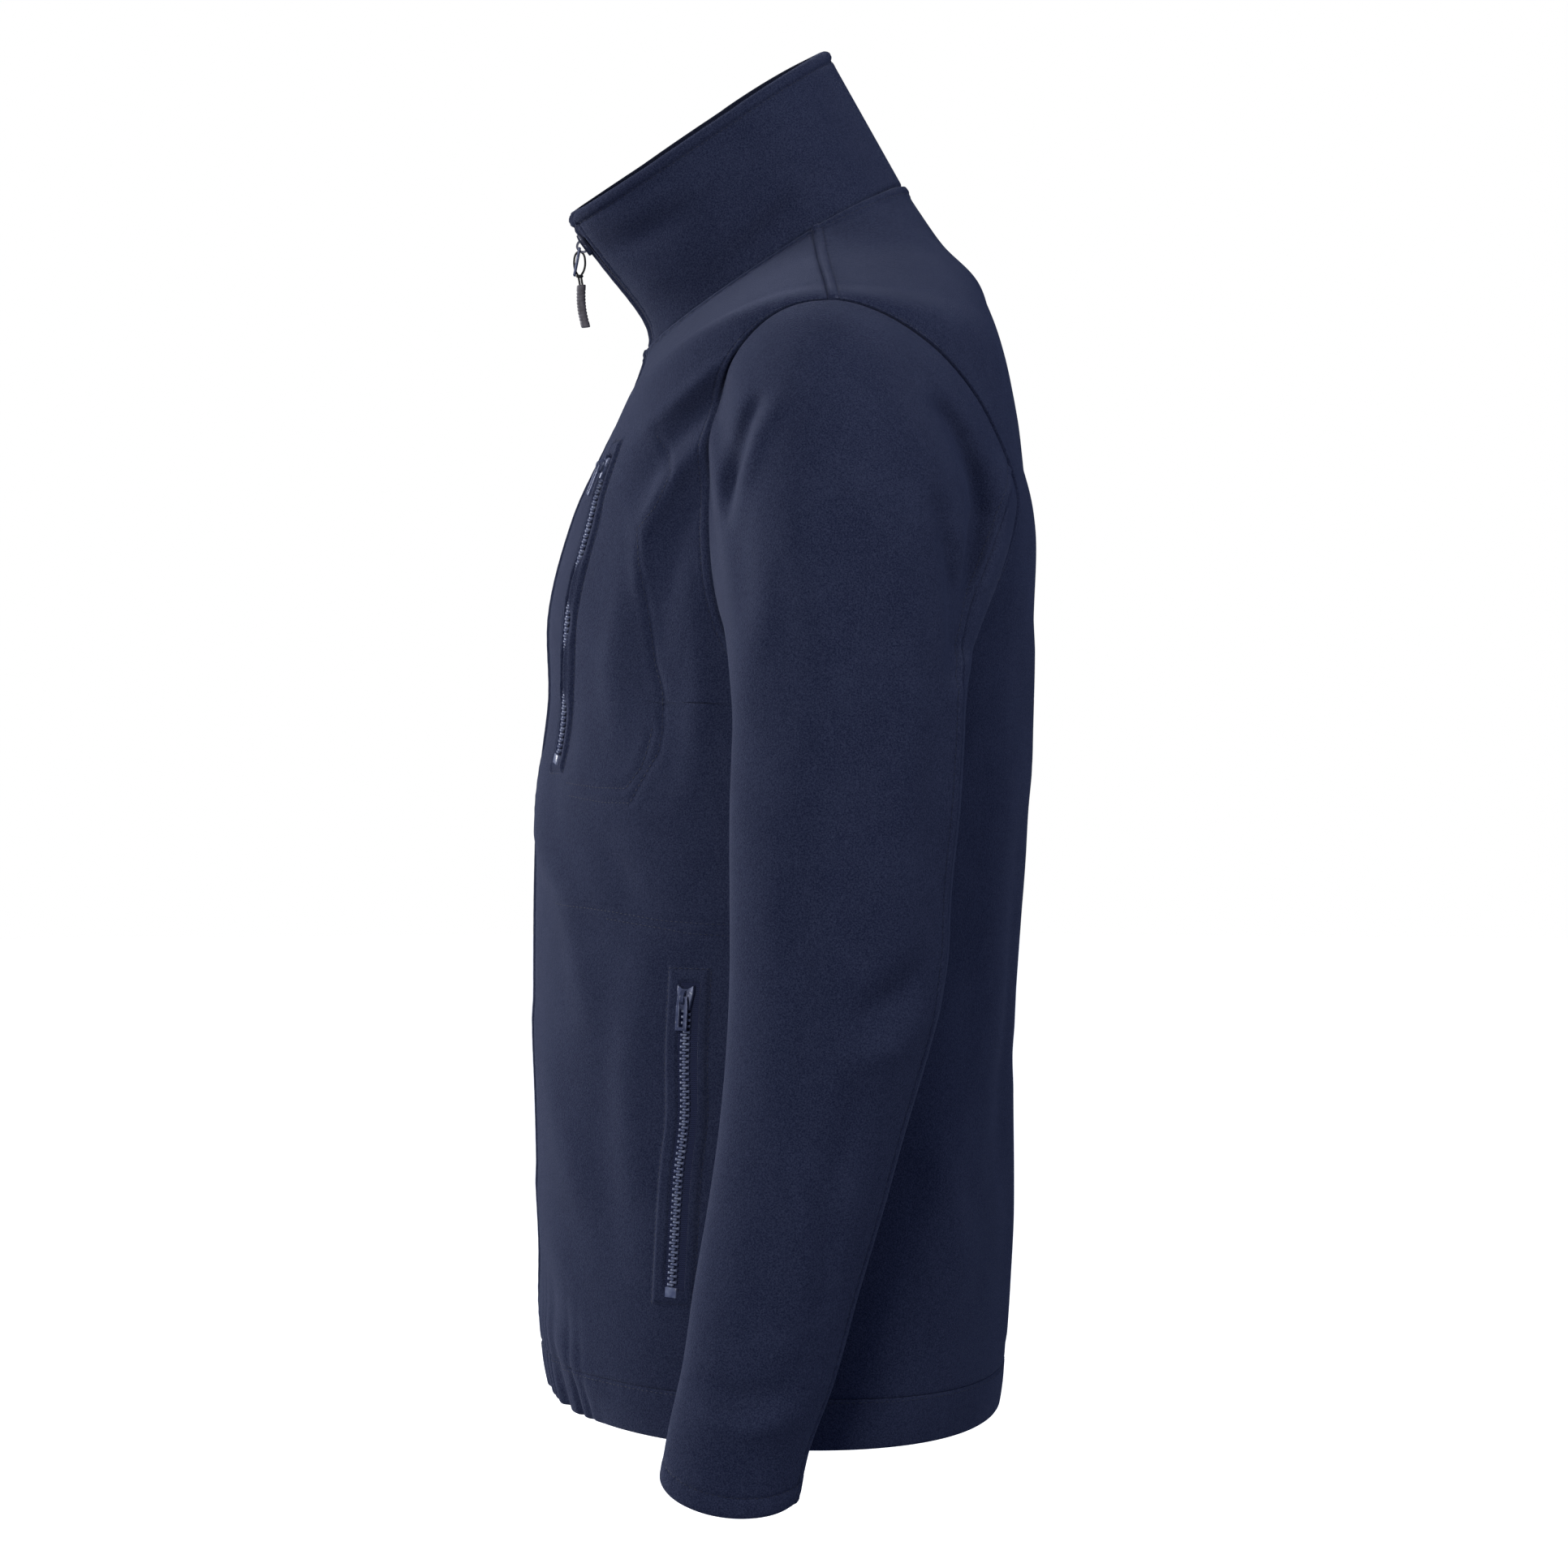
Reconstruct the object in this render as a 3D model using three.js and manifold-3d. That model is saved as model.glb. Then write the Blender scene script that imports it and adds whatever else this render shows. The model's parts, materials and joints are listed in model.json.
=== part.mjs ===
// A fleece zip jacket, filled out as if worn: fronts, back, two-piece sleeves, stand collar, gathered hem, zips.
// Millimetres, +Z up, -Y the front, +X the wearer's left. The origin is midway between the shoulder points.
import * as THREE from "three";
import { mergeVertices } from "three/addons/utils/BufferGeometryUtils.js";
import Module from "manifold-3d";

const wasm = await Module();
wasm.setup();

// Driving dimensions
const FLEECE = 2.4; // one layer of fleece
const TURNED_HEM = 4.2; // two layers, where an edge is turned up and stitched
const COLLAR_WALL = 4.6; // outer and inner collar together
const COLLAR_LIP = 2.6; // the collar wall at its rounded top edge
const SEAM_GAP = 0.3; // between two pieces at a seam
const ZIP_OPENING = 8; // from the centre front to the edge of each front
const COLLAR_HEIGHT = 90;
const COLLAR_LEAN = (29.3 * Math.PI) / 180; // forward lean of the collar
const COLLAR_TOP_NARROWING = 4; // the collar is narrower at its top by this on each side
const COLLAR_RISE = { middle: 3.5, side: -10, back: 3 }; // higher on the right side and at the back
const COLLAR_TIP = 5; // forward reach of the collar's front corners
const COLLAR_FRONT_DIP = 85; // hollow of the collar's front edge, just above the neck seam
const COLLAR_FRONT_REACH = 70; // how far round from the centre front both of those fade
const NECK = { side: 72, front: -100.5 }; // half width of the neck, and its centre front
const CUFF_HEM = 11;
const TAPE_WIDTH = 14; // of a pocket's zip
const TAPE_THICKNESS = 0.9;
const CHAIN_WIDTH = 6;
const CHAIN_THICKNESS = 2.2;
const ZIP_DOME = 1.2; // the front zip's tape arches forward by this
const FRONT_TAPE_SINK = 0.7 * FLEECE; // of its edges, below the outer face of the fronts
const ZIP_ROWS = 14; // of a pocket's zip
const SLIDER = { width: 9.5, length: 13.5, thickness: 3.4 };
const BRIDGE = { length: 8, height: 4.2, foot: 1.5, bar: 1.2, width: 2.4 };
const TAB = { width: 6.8, length: 18.5, thickness: 1.2, bar: 1.3, eyeWidth: 3.4, eyeLength: 5.6 };
const TAB_WINDOW = { width: 3, length: 4.2 };
const FRONT_TAB_LENGTH = 12.5;
const CORD_RADIUS = 0.65;
const KNOT = { down: 15.6, radius: 1.9 }; // of the cord on the front zip's pull, below the axis of the tab
const GRIP = { down: 21.5, length: 25, radius: 2.9, ribs: 6, flatness: 0.8 };
const CAP_ROWS = 6;
const ARMHOLE_ROWS = 12; // rows of each front and of the back that end at the armhole
const BODY_ROWS = 11; // rows from the hem seam up to the underarm
const SHOULDER_ROWS = 5;
const FRONT_COLUMNS = 11;
const BACK_COLUMNS = 9; // on each side of the centre back
const BACK_SEAM_STEP = 5; // the sleeve's back seam is this many armhole steps behind the shoulder point
const PATH_STEPS = 48; // along which the length across a panel is measured
const HEM_SLOPE = 0.026; // fall of the hem seam's ring from front to back

// A table's rows as objects, so that each value is read by the name of its column
const rowsOf = (names, rows) =>
  rows.map((row) => Object.fromEntries(names.split(" ").map((name, i) => [name, row[i]])));

// Rings of the torso from the hem up to the neck seam: where each crosses the side, the centre front and the
// centre back. A power of 2 is an ellipse, and more is boxier. A bend above 1 keeps a ring level at the side.
const TORSO = rowsOf(
  "sideX sideY sideZ frontY frontZ backY backZ frontPower backPower frontBend backBend",
  [
    [213, -20, -615, -154, -611, 105.5, -618, 2.15, 2.35, 1, 1],
    [212, -20, -587, -160, -584, 108, -591, 2.2, 2.5, 1, 1],
    [212, -20, -530, -162, -530, 110, -530, 2.25, 2.5, 1, 1],
    [209, -17, -450, -164, -450, 112, -450, 2.2, 2.5, 1, 1],
    [206, -12, -370, -165, -370, 116, -370, 2.15, 2.5, 1, 1],
    [204, -3, -300, -164, -300, 120.5, -300, 2.1, 2.6, 1, 1],
    [204, 5, -250, -161, -250, 122, -250, 2.05, 2.7, 1, 1],
    [204, 9, -216, -156.5, -215, 122, -214, 2.05, 2.9, 1, 1],
    [206, 10, -165, -156.5, -164, 124, -162, 2.05, 3, 1, 1],
    [209, 10, -108, -143, -110, 125, -112, 2.1, 3, 1, 1],
    [214, 8, -52, -126, -72, 118.5, -68, 2.2, 2.9, 1.4, 1.4],
    [222, 3.4, 0, -112, -44, 107.5, -19, 2.4, 2.8, 1.8, 1.8],
    [190, 2, 12, -107.5, -34.5, 101.3, 5, 2.4, 2.6, 1.6, 1.6],
    [152, 0, 24, -104, -25.5, 91.5, 28, 2.35, 2.3, 1.4, 1.4],
    [112, -2, 37, -101, -16.5, 73.5, 51, 2.2, 2.1, 1.2, 1.2],
    [72, -4.3, 54, -98.5, -7.4, 49.5, 87, 2.1, 2.1, 1, 1],
  ],
);
const HEM_SEAM = 1; // places of three rings in the table
const UNDERARM = 7;
const SHOULDER = 11;

// The armhole as it shows from the side: a closed curve of four quarters round one centre.
const ARMHOLE = { centreY: 6, centreZ: -102, front: 67, back: 102, up: 102, down: 114 };
const ARMHOLE_POWER = { frontUp: 2.35, frontDown: 2.6, backUp: 1.62, backDown: 1.68 };

// Rings of the sleeve from the underarm down to the cuff. The slopes tilt a ring to the back and outwards.
const SLEEVE = rowsOf("z centreX centreY halfDepth halfWidth slopeBack slopeOut", [
  [-229, 259.5, 14, 61, 50, 0, 0],
  [-271, 261, 12, 60.5, 49.5, 0, 0],
  [-313, 262, 10, 58.5, 49, 0.02, -0.03],
  [-355, 262, 8.5, 57, 47.5, 0.04, -0.06],
  [-397, 262, 3, 53.5, 45.5, 0.05, -0.1],
  [-438, 261.5, -5, 49.3, 43, 0.04, -0.14],
  [-480, 261, -14, 46.3, 41, 0.02, -0.18],
  [-522, 260.5, -24, 43.3, 38.5, -0.02, -0.23],
  [-564, 260, -33, 40.3, 36.5, -0.05, -0.28],
  [-600, 259, -43.5, 37.6, 35, -0.06, -0.3],
  [-625, 258.5, -48.5, 36.8, 35, -0.1, -0.3],
]);

// The largest folds, as lines in the side view: each pushes the cloth out, or in if its height is below 0.
const BODY_FOLDS = [
  { startY: -38, startZ: -26, endY: -112, endZ: -100, width: 11, height: 3.2 },
  { startY: -58, startZ: -62, endY: -104, endZ: -130, width: 12, height: 3.4 },
  { startY: -150, startZ: -296, endY: -128, endZ: -386, width: 9, height: 3.2 },
  { startY: -158, startZ: -400, endY: -138, endZ: -480, width: 10, height: 3 },
  { startY: -155, startZ: -505, endY: -134, endZ: -565, width: 9, height: 2.6 },
  { startY: -141, startZ: -222, endY: -152, endZ: -262, width: 9, height: -2.6 },
  { startY: 96, startZ: -180, endY: 84, endZ: -420, width: 16, height: -3 },
];
const SLEEVE_FOLDS = [
  { startY: -44, startZ: -46, endY: -47, endZ: -128, width: 9, height: -6 },
  { startY: -28, startZ: -142, endY: -40, endZ: -204, width: 9, height: 3.5 },
  { startY: 72, startZ: -62, endY: 90, endZ: -150, width: 10, height: -9 },
  { startY: 62, startZ: -140, endY: 70, endZ: -250, width: 9, height: 3.5 },
  { startY: 50, startZ: -352, endY: 30, endZ: -372, width: 8, height: -2.5 },
];
const COLLAR_FOLDS = [
  { startY: -70, startZ: 8, endY: -6, endZ: 84, width: 9, height: -2.6 },
  { startY: -44, startZ: 50, endY: 10, endZ: 104, width: 10, height: 1.8 },
  { startY: -128, startZ: 50, endY: -86, endZ: 62, width: 8, height: -1.8 },
];

// The gathers along the front of the hem
const GATHERS = { count: 6.5, columns: 33, share: 0.34, height: 2.6 };
const HEM_COLUMNS_BACK = 24;

// Where the pocket zips run: the hand pocket's in the side view (y, z), the chest pocket's in the front view
const POCKET_ZIP = { topAt: -71, topZ: -366, bottomAt: -79.5, bottomZ: -531, kink: 2.2, kinkZ: -438 };
const CHEST_ZIP = { topAt: 106, topZ: -76, bottomAt: 76, bottomZ: -246, kink: 0, kinkZ: -160 };
const SLIDER_DOWN = 8; // from the top of a pocket's zip to the middle of its slider
const FRONT_SLIDER_Z = 55;

const lerp = THREE.MathUtils.lerp;
const clamp = THREE.MathUtils.clamp;
const vector = (x, y, z) => new THREE.Vector3(x, y, z);
const steps = (count, make) => Array.from({ length: count + 1 }, (_, i) => make(i / count, i));

// Tables

// How far along the table each row lies, measured between the points that place gives.
function distances(rows, place) {
  const far = [0];
  rows.slice(1).forEach((row, i) => far.push(far[i] + place(row).distanceTo(place(rows[i]))));
  return far;
}

// A smooth curve through one column of a table, with uneven spacing allowed.
function column(rows, far, name, at) {
  const last = rows.length - 1;
  let i = 0;
  while (i < last - 1 && far[i + 1] < at) i += 1;
  const slope = (k) => (rows[k + 1][name] - rows[k][name]) / (far[k + 1] - far[k]);
  const tangent = (k) => {
    if (k === 0) return slope(0);
    if (k === last) return slope(last - 1);
    const before = far[k] - far[k - 1];
    const after = far[k + 1] - far[k];
    return (slope(k - 1) * after + slope(k) * before) / (before + after);
  };
  const span = far[i + 1] - far[i];
  const u = clamp((at - far[i]) / span, 0, 1);
  const u2 = u * u;
  const u3 = u2 * u;
  return (
    (2 * u3 - 3 * u2 + 1) * rows[i][name] +
    (u3 - 2 * u2 + u) * span * tangent(i) +
    (3 * u2 - 2 * u3) * rows[i + 1][name] +
    (u3 - u2) * span * tangent(i + 1)
  );
}

function readRow(rows, far, at) {
  return Object.fromEntries(Object.keys(rows[0]).map((name) => [name, column(rows, far, name, at)]));
}

// Folds

// How far the folds push a point that shows at (y, z) from the side: a soft ridge that fades at both ends.
function foldHeight(folds, y, z) {
  return folds.reduce((sum, fold) => {
    const runY = fold.endY - fold.startY;
    const runZ = fold.endZ - fold.startZ;
    const length = Math.hypot(runY, runZ);
    const along = ((y - fold.startY) * runY + (z - fold.startZ) * runZ) / length;
    const across = ((y - fold.startY) * runZ - (z - fold.startZ) * runY) / length;
    const past = Math.max(0, -along, along - length);
    const shape = Math.exp(-((across / fold.width) ** 2)) * Math.exp(-((past / (1.5 * fold.width)) ** 2));
    const fade = 0.55 + 0.45 * Math.sin(Math.PI * clamp(along / length, 0, 1));
    return sum + fold.height * shape * fade;
  }, 0);
}

// The torso

const torsoFar = distances(TORSO, (row) => vector(row.sideX, row.sideY, row.sideZ));

// A point of the torso at an angle from the centre line (0) to the side (a quarter turn).
function torsoPoint(row, angle, behind) {
  const power = behind ? row.backPower : row.frontPower;
  const across = Math.sin(angle) ** (2 / power);
  const forward = Math.cos(angle) ** (2 / power);
  const bend = behind ? row.backBend : row.frontBend;
  const y = lerp(row.sideY, behind ? row.backY : row.frontY, forward);
  const z = lerp(row.sideZ, behind ? row.backZ : row.frontZ, forward ** bend);
  return vector(row.sideX * across, y, z);
}

function inArmhole(y, z) {
  const behind = y > ARMHOLE.centreY;
  const above = z > ARMHOLE.centreZ;
  const power = ARMHOLE_POWER[(behind ? "back" : "front") + (above ? "Up" : "Down")];
  const across = Math.abs(y - ARMHOLE.centreY) / (behind ? ARMHOLE.back : ARMHOLE.front);
  const along = Math.abs(z - ARMHOLE.centreZ) / (above ? ARMHOLE.up : ARMHOLE.down);
  return across ** power + along ** power < 1;
}

// The angle at which a ring meets the armhole, or the side or shoulder seam where it misses the armhole.
function edgeAngle(row, far, behind) {
  let outside = 0;
  let inside = Math.PI / 2;
  if (far <= torsoFar[UNDERARM] + 1e-6 || far >= torsoFar[SHOULDER] - 1e-6) return inside;
  for (let i = 0; i < 40; i += 1) {
    const middle = (outside + inside) / 2;
    const point = torsoPoint(row, middle, behind);
    if (inArmhole(point.y, point.z)) inside = middle;
    else outside = middle;
  }
  return outside;
}

// Pushes a torso point out by the folds, away from the torso's upright axis.
function drapeTorso(point) {
  const away = vector(point.x / 1.5, point.y + 20, 0).normalize();
  return point.addScaledVector(away, foldHeight(BODY_FOLDS, point.y, point.z));
}

// The point at a share of the way, by length, from the centre line to the panel's edge.
function panelPoint(far, share, behind, startX) {
  const row = readRow(TORSO, torsoFar, far);
  const power = behind ? row.backPower : row.frontPower;
  const start = Math.asin((startX / row.sideX) ** (power / 2));
  const end = edgeAngle(row, far, behind);
  const path = steps(PATH_STEPS, (u) => torsoPoint(row, lerp(start, end, u), behind));
  const along = distances(path, (p) => p);
  const wanted = share * along[PATH_STEPS];
  let i = 0;
  while (i < PATH_STEPS - 1 && along[i + 1] < wanted) i += 1;
  const u = clamp((wanted - along[i]) / (along[i + 1] - along[i]), 0, 1);
  return drapeTorso(path[i].clone().lerp(path[i + 1], u));
}

// The rows of a panel: even at the centre line, and closer near the armhole's top and bottom at its edge.
const rowsAt = [
  ...steps(BODY_ROWS, (u) => [lerp(torsoFar[HEM_SEAM], torsoFar[UNDERARM], u), u]).map(([far]) => [far, far]),
  ...steps(ARMHOLE_ROWS, (u) => [
    lerp(torsoFar[UNDERARM], torsoFar[SHOULDER], u),
    lerp(torsoFar[UNDERARM], torsoFar[SHOULDER], (1 - Math.cos(Math.PI * u)) / 2),
  ]).slice(1),
  ...steps(SHOULDER_ROWS, (u) => [0, lerp(torsoFar[SHOULDER], torsoFar[TORSO.length - 1], u)])
    .slice(1)
    .map(([, far]) => [far, far]),
];

const halfPanel = (columns, behind, startX) =>
  rowsAt.map(([atCentre, atEdge]) =>
    steps(columns, (share) => panelPoint(lerp(atCentre, atEdge, share ** 1.5), share, behind, startX)),
  );
const frontGrid = halfPanel(FRONT_COLUMNS, false, ZIP_OPENING);
const halfBackGrid = halfPanel(BACK_COLUMNS, true, 0);

const mirrored = (point) => vector(-point.x, point.y, point.z);
const mirrorGrid = (grid) => grid.map((row) => row.map(mirrored).reverse());

// Columns run from the left side round the centre back to the right side.
const backGrid = halfBackGrid.map((row) => [
  ...row.slice().reverse(),
  ...row.slice(1).map(mirrored),
]);

// The left armhole, from the shoulder point down the front to the underarm and up the back.
const armholeLoop = [];
for (let i = ARMHOLE_ROWS; i >= 0; i -= 1) armholeLoop.push(frontGrid[BODY_ROWS + i][FRONT_COLUMNS]);
for (let i = 1; i < ARMHOLE_ROWS; i += 1) armholeLoop.push(halfBackGrid[BODY_ROWS + i][BACK_COLUMNS]);
const AROUND = armholeLoop.length;

// The sleeve

const sleeveFar = SLEEVE.map((row) => SLEEVE[0].z - row.z);

function sleevePoint(row, turn) {
  const x = row.halfWidth * Math.cos(turn);
  const y = -row.halfDepth * Math.sin(turn);
  return vector(row.centreX + x, row.centreY + y, row.z + row.slopeOut * x + row.slopeBack * y);
}

// The cap: one curve for each point of the armhole, from there out and down to the sleeve's first ring.
function capPoint(step, share) {
  const turn = (2 * Math.PI * step) / AROUND;
  const start = armholeLoop[(step + AROUND) % AROUND];
  const end = sleevePoint(SLEEVE[0], turn);
  const reach = start.distanceTo(end);
  const top = Math.max(0, Math.cos(turn)) ** 1.2;
  const out = vector(0.93, 0, -0.36).multiplyScalar(top);
  out.addScaledVector(end.clone().sub(start).normalize(), 1 - top).normalize();
  const bezier = new THREE.CubicBezierCurve3(
    start,
    start.clone().addScaledVector(out, 0.34 * reach),
    end.clone().addScaledVector(vector(0, 0, 1), lerp(0.28, 0.5, top) * reach),
    end,
  );
  return bezier.getPoint(share);
}

// Pushes the outer half of the sleeve by its folds; the seams and the side that faces the body stay.
function drapeSleeve(point, step, share) {
  const turn = (2 * Math.PI * step) / AROUND;
  const outer = clamp(0.5 + Math.cos(turn), 0, 1);
  const clearOfSeam = clamp(share * 4, 0, 1);
  const away = vector(Math.cos(turn), -Math.sin(turn), 0);
  const height = foldHeight(SLEEVE_FOLDS, point.y, point.z);
  return point.addScaledVector(away, height * outer * clearOfSeam);
}

const sleeveLength = sleeveFar[SLEEVE.length - 1];
const SLEEVE_ROWS = 10;
const armRows = [
  ...steps(CAP_ROWS, (share) => (step) => drapeSleeve(capPoint(step, share), step, share)),
  ...steps(SLEEVE_ROWS, (share) => (step) => {
    const row = readRow(SLEEVE, sleeveFar, share * (sleeveLength - CUFF_HEM));
    return drapeSleeve(sleevePoint(row, (2 * Math.PI * step) / AROUND), step, 1);
  }).slice(1),
  ...steps(1, (share) => (step) => {
    const row = readRow(SLEEVE, sleeveFar, sleeveLength - CUFF_HEM * (1 - share));
    return sleevePoint(row, (2 * Math.PI * step) / AROUND);
  }).slice(1),
];

// A sleeve piece from one step of the armhole to another. Rows run up, so that its faces turn outwards.
function sleeveGrid(from, to) {
  return armRows
    .map((at) => steps(to - from, (_, i) => at(from + i)).reverse())
    .reverse();
}
const backSeam = AROUND - BACK_SEAM_STEP;
const underSeam = AROUND / 2;
const sleeveTopGrid = sleeveGrid(backSeam - AROUND, underSeam);
const sleeveUnderGrid = sleeveGrid(underSeam, backSeam);

// The collar: the neck seam's ring moved up along the lean.
const neckRow = frontGrid.length - 1;
const neckLoop = [
  ...frontGrid[neckRow].slice(0, FRONT_COLUMNS),
  ...halfBackGrid[neckRow].slice().reverse(),
];
const neckRing = [...neckLoop, ...neckLoop.slice(0, -1).reverse().map(mirrored)];
const COLLAR_ROWS = [0, 0.14, 0.3, 0.5, 0.72, 0.93, 1];
const collarUp = vector(0, -Math.sin(COLLAR_LEAN), Math.cos(COLLAR_LEAN));
function collarHeight(x, y) {
  const toSide = x / NECK.side;
  const atBack = clamp((y + 10) / 60, 0, 1);
  return COLLAR_HEIGHT + COLLAR_RISE.middle * toSide ** 2 + COLLAR_RISE.side * toSide + COLLAR_RISE.back * atBack;
}
const collarGrid = COLLAR_ROWS.map((share) =>
  neckRing.map((point) => {
    const narrow = 1 - (COLLAR_TOP_NARROWING * share) / NECK.side;
    const x = Math.abs(point.x) <= ZIP_OPENING + 0.01 ? point.x : point.x * narrow;
    const rise = share * collarHeight(x, point.y);
    const moved = vector(x, point.y, point.z).addScaledVector(collarUp, rise);
    const atFront = clamp(1 - Math.hypot(x, point.y - NECK.front) / COLLAR_FRONT_REACH, 0, 1);
    moved.y += (COLLAR_FRONT_DIP * share * (1 - share) ** 3 - COLLAR_TIP * share ** 2) * atFront;
    const away = vector(x, (point.y + 25) / 1.3, 0).normalize();
    const free = Math.sin(Math.PI * clamp(share, 0, 1)) * clamp((Math.abs(x) - ZIP_OPENING) / 20, 0, 1);
    return moved.addScaledVector(away, foldHeight(COLLAR_FOLDS, moved.y, moved.z) * free);
  }),
);

// The hem casing: the torso below the hem seam, gathered along the front.
const hemRows = [0.3, 9, 18, torsoFar[HEM_SEAM]];
function hemPoint(below, share, behind, startX) {
  return panelPoint(torsoFar[HEM_SEAM] - below, share, behind, startX);
}
function gather(point, share, below) {
  const away = vector(point.x / 1.5, point.y + 20, 0).normalize();
  const wave = 0.2 + Math.sin(2 * Math.PI * GATHERS.count * share);
  const fade = clamp(share * 12, 0, 1) * clamp((1 - share) * 5, 0, 1);
  const grow = 0.45 + 0.55 * (below / torsoFar[HEM_SEAM]);
  return point.clone().addScaledVector(away, wave * fade * grow * GATHERS.height);
}
// Close columns over the gathered share of the front, then wide ones on to the side seam.
const hemShares = [
  ...steps(GATHERS.columns, (u) => [u * GATHERS.share, u]),
  ...steps(6, (u) => [lerp(GATHERS.share, 1, u), 1]).slice(1),
];
const hemFrontBase = hemRows
  .map((below) => hemShares.map(([share]) => hemPoint(below, share, false, ZIP_OPENING)))
  .reverse();
const hemFrontGrid = hemFrontBase.map((row, r) => {
  const below = hemRows[hemRows.length - 1 - r];
  return row.map((point, c) => gather(point, hemShares[c][1], below));
});
const halfHemBack = hemRows
  .map((below) => steps(HEM_COLUMNS_BACK / 2, (share) => hemPoint(below, share, true, 0)))
  .reverse();
const hemBackGrid = halfHemBack.map((row) => [...row.slice().reverse(), ...row.slice(1).map(mirrored)]);

// Cloth pieces

const NAVY = new THREE.MeshStandardMaterial({ color: 0x1b2140, roughness: 0.95, metalness: 0 });
const TAPE = new THREE.MeshStandardMaterial({ color: 0x20263f, roughness: 0.8, metalness: 0 });
const TEETH = new THREE.MeshStandardMaterial({ color: 0x4a5270, roughness: 0.45, metalness: 0.1 });
const PULL = new THREE.MeshStandardMaterial({ color: 0x565d78, roughness: 0.35, metalness: 0.5 });
const RUBBER = new THREE.MeshStandardMaterial({ color: 0x4b484e, roughness: 0.75, metalness: 0 });

const flat = (wall) => () => wall;
const cuffWall = (row) => (row <= 1 ? TURNED_HEM : FLEECE);
const collarWall = (row) => (row === COLLAR_ROWS.length - 1 ? COLLAR_LIP : COLLAR_WALL);

const cloth = [
  { name: "front_left", grid: frontGrid, wall: flat(FLEECE), hemRow: 0 },
  { name: "front_right", grid: mirrorGrid(frontGrid), wall: flat(FLEECE), hemRow: 0 },
  { name: "back", grid: backGrid, wall: flat(FLEECE), hemRow: 0 },
  { name: "sleeve_top_left", grid: sleeveTopGrid, wall: cuffWall },
  { name: "sleeve_under_left", grid: sleeveUnderGrid, wall: cuffWall },
  { name: "sleeve_top_right", grid: mirrorGrid(sleeveTopGrid), wall: cuffWall },
  { name: "sleeve_under_right", grid: mirrorGrid(sleeveUnderGrid), wall: cuffWall },
  { name: "collar", grid: collarGrid, wall: collarWall },
  { name: "hem_casing_left", grid: hemFrontGrid, base: hemFrontBase, wall: flat(TURNED_HEM), hemRow: 3 },
  {
    name: "hem_casing_right",
    grid: mirrorGrid(hemFrontGrid),
    base: mirrorGrid(hemFrontBase),
    wall: flat(TURNED_HEM),
    hemRow: 3,
  },
  { name: "hem_casing_back", grid: hemBackGrid, wall: flat(TURNED_HEM), hemRow: 3 },
];

const keyOf = (p) => [p.x, p.y, p.z].map((value) => Math.round(value * 200)).join(",");

// Each vertex's outward normal, from its neighbours along the row and the column.
function gridNormals(grid) {
  const lastRow = grid.length - 1;
  const lastColumn = grid[0].length - 1;
  return grid.map((row, r) =>
    row.map((_, c) => {
      const alongRow = row[Math.min(c + 1, lastColumn)].clone().sub(row[Math.max(c - 1, 0)]);
      const upColumn = grid[Math.min(r + 1, lastRow)][c].clone().sub(grid[Math.max(r - 1, 0)][c]);
      return alongRow.cross(upColumn).normalize();
    }),
  );
}

// The places round a grid's edge, in order.
function edgeLoop(grid) {
  const lastRow = grid.length - 1;
  const lastColumn = grid[0].length - 1;
  const loop = [];
  for (let c = 0; c < lastColumn; c += 1) loop.push([0, c]);
  for (let r = 0; r < lastRow; r += 1) loop.push([r, lastColumn]);
  for (let c = lastColumn; c > 0; c -= 1) loop.push([lastRow, c]);
  for (let r = lastRow; r > 0; r -= 1) loop.push([r, 0]);
  return loop;
}

// Seams: every piece that has a vertex there adds its normal, and they share one mitre.
const seams = new Map();
for (const piece of cloth) {
  piece.normals = gridNormals(piece.base ?? piece.grid);
  piece.loop = edgeLoop(piece.grid);
  for (const [r, c] of piece.loop) {
    const key = keyOf(piece.grid[r][c]);
    if (!seams.has(key)) seams.set(key, []);
    seams.get(key).push({ name: piece.name, normal: piece.normals[r][c] });
  }
}

// The seam of the hem is cut in the plane of its ring, so the panels and the casing meet flat.
const inHemPlane = (normal) => vector(normal.x, normal.y, -HEM_SLOPE * normal.y).normalize();

function mitreAt(point, own) {
  const meeting = seams.get(keyOf(point));
  const sum = meeting.reduce((total, { normal }) => total.add(normal), vector(0, 0, 0));
  if (sum.length() < 0.2) return own.clone();
  sum.normalize();
  const lean = Math.min(...meeting.map(({ normal }) => normal.dot(sum)));
  return sum.multiplyScalar(1 / Math.max(lean, 0.62));
}

const isShared = (point) => new Set(seams.get(keyOf(point)).map(({ name }) => name)).size > 1;

// The move that takes an edge vertex half the seam gap back from each seam that it lies on.
function seamSetback(piece, place, mitre) {
  const { grid, loop } = piece;
  const count = loop.length;
  const at = (k) => grid[loop[(k + count) % count][0]][loop[(k + count) % count][1]];
  const here = at(place);
  if (!isShared(here)) return vector(0, 0, 0);
  const backs = [
    [at(place - 1), here],
    [here, at(place + 1)],
  ]
    .filter(([from, to]) => isShared(from) && isShared(to))
    .map(([from, to]) => mitre.clone().cross(to.clone().sub(from)).normalize());
  if (!backs.length) return vector(0, 0, 0);
  if (backs.length === 1) return backs[0].multiplyScalar(SEAM_GAP / 2);
  const both = backs[0].clone().add(backs[1]);
  return both.multiplyScalar(SEAM_GAP / 2 / Math.max(1 + backs[0].dot(backs[1]), 0.35));
}

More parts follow.
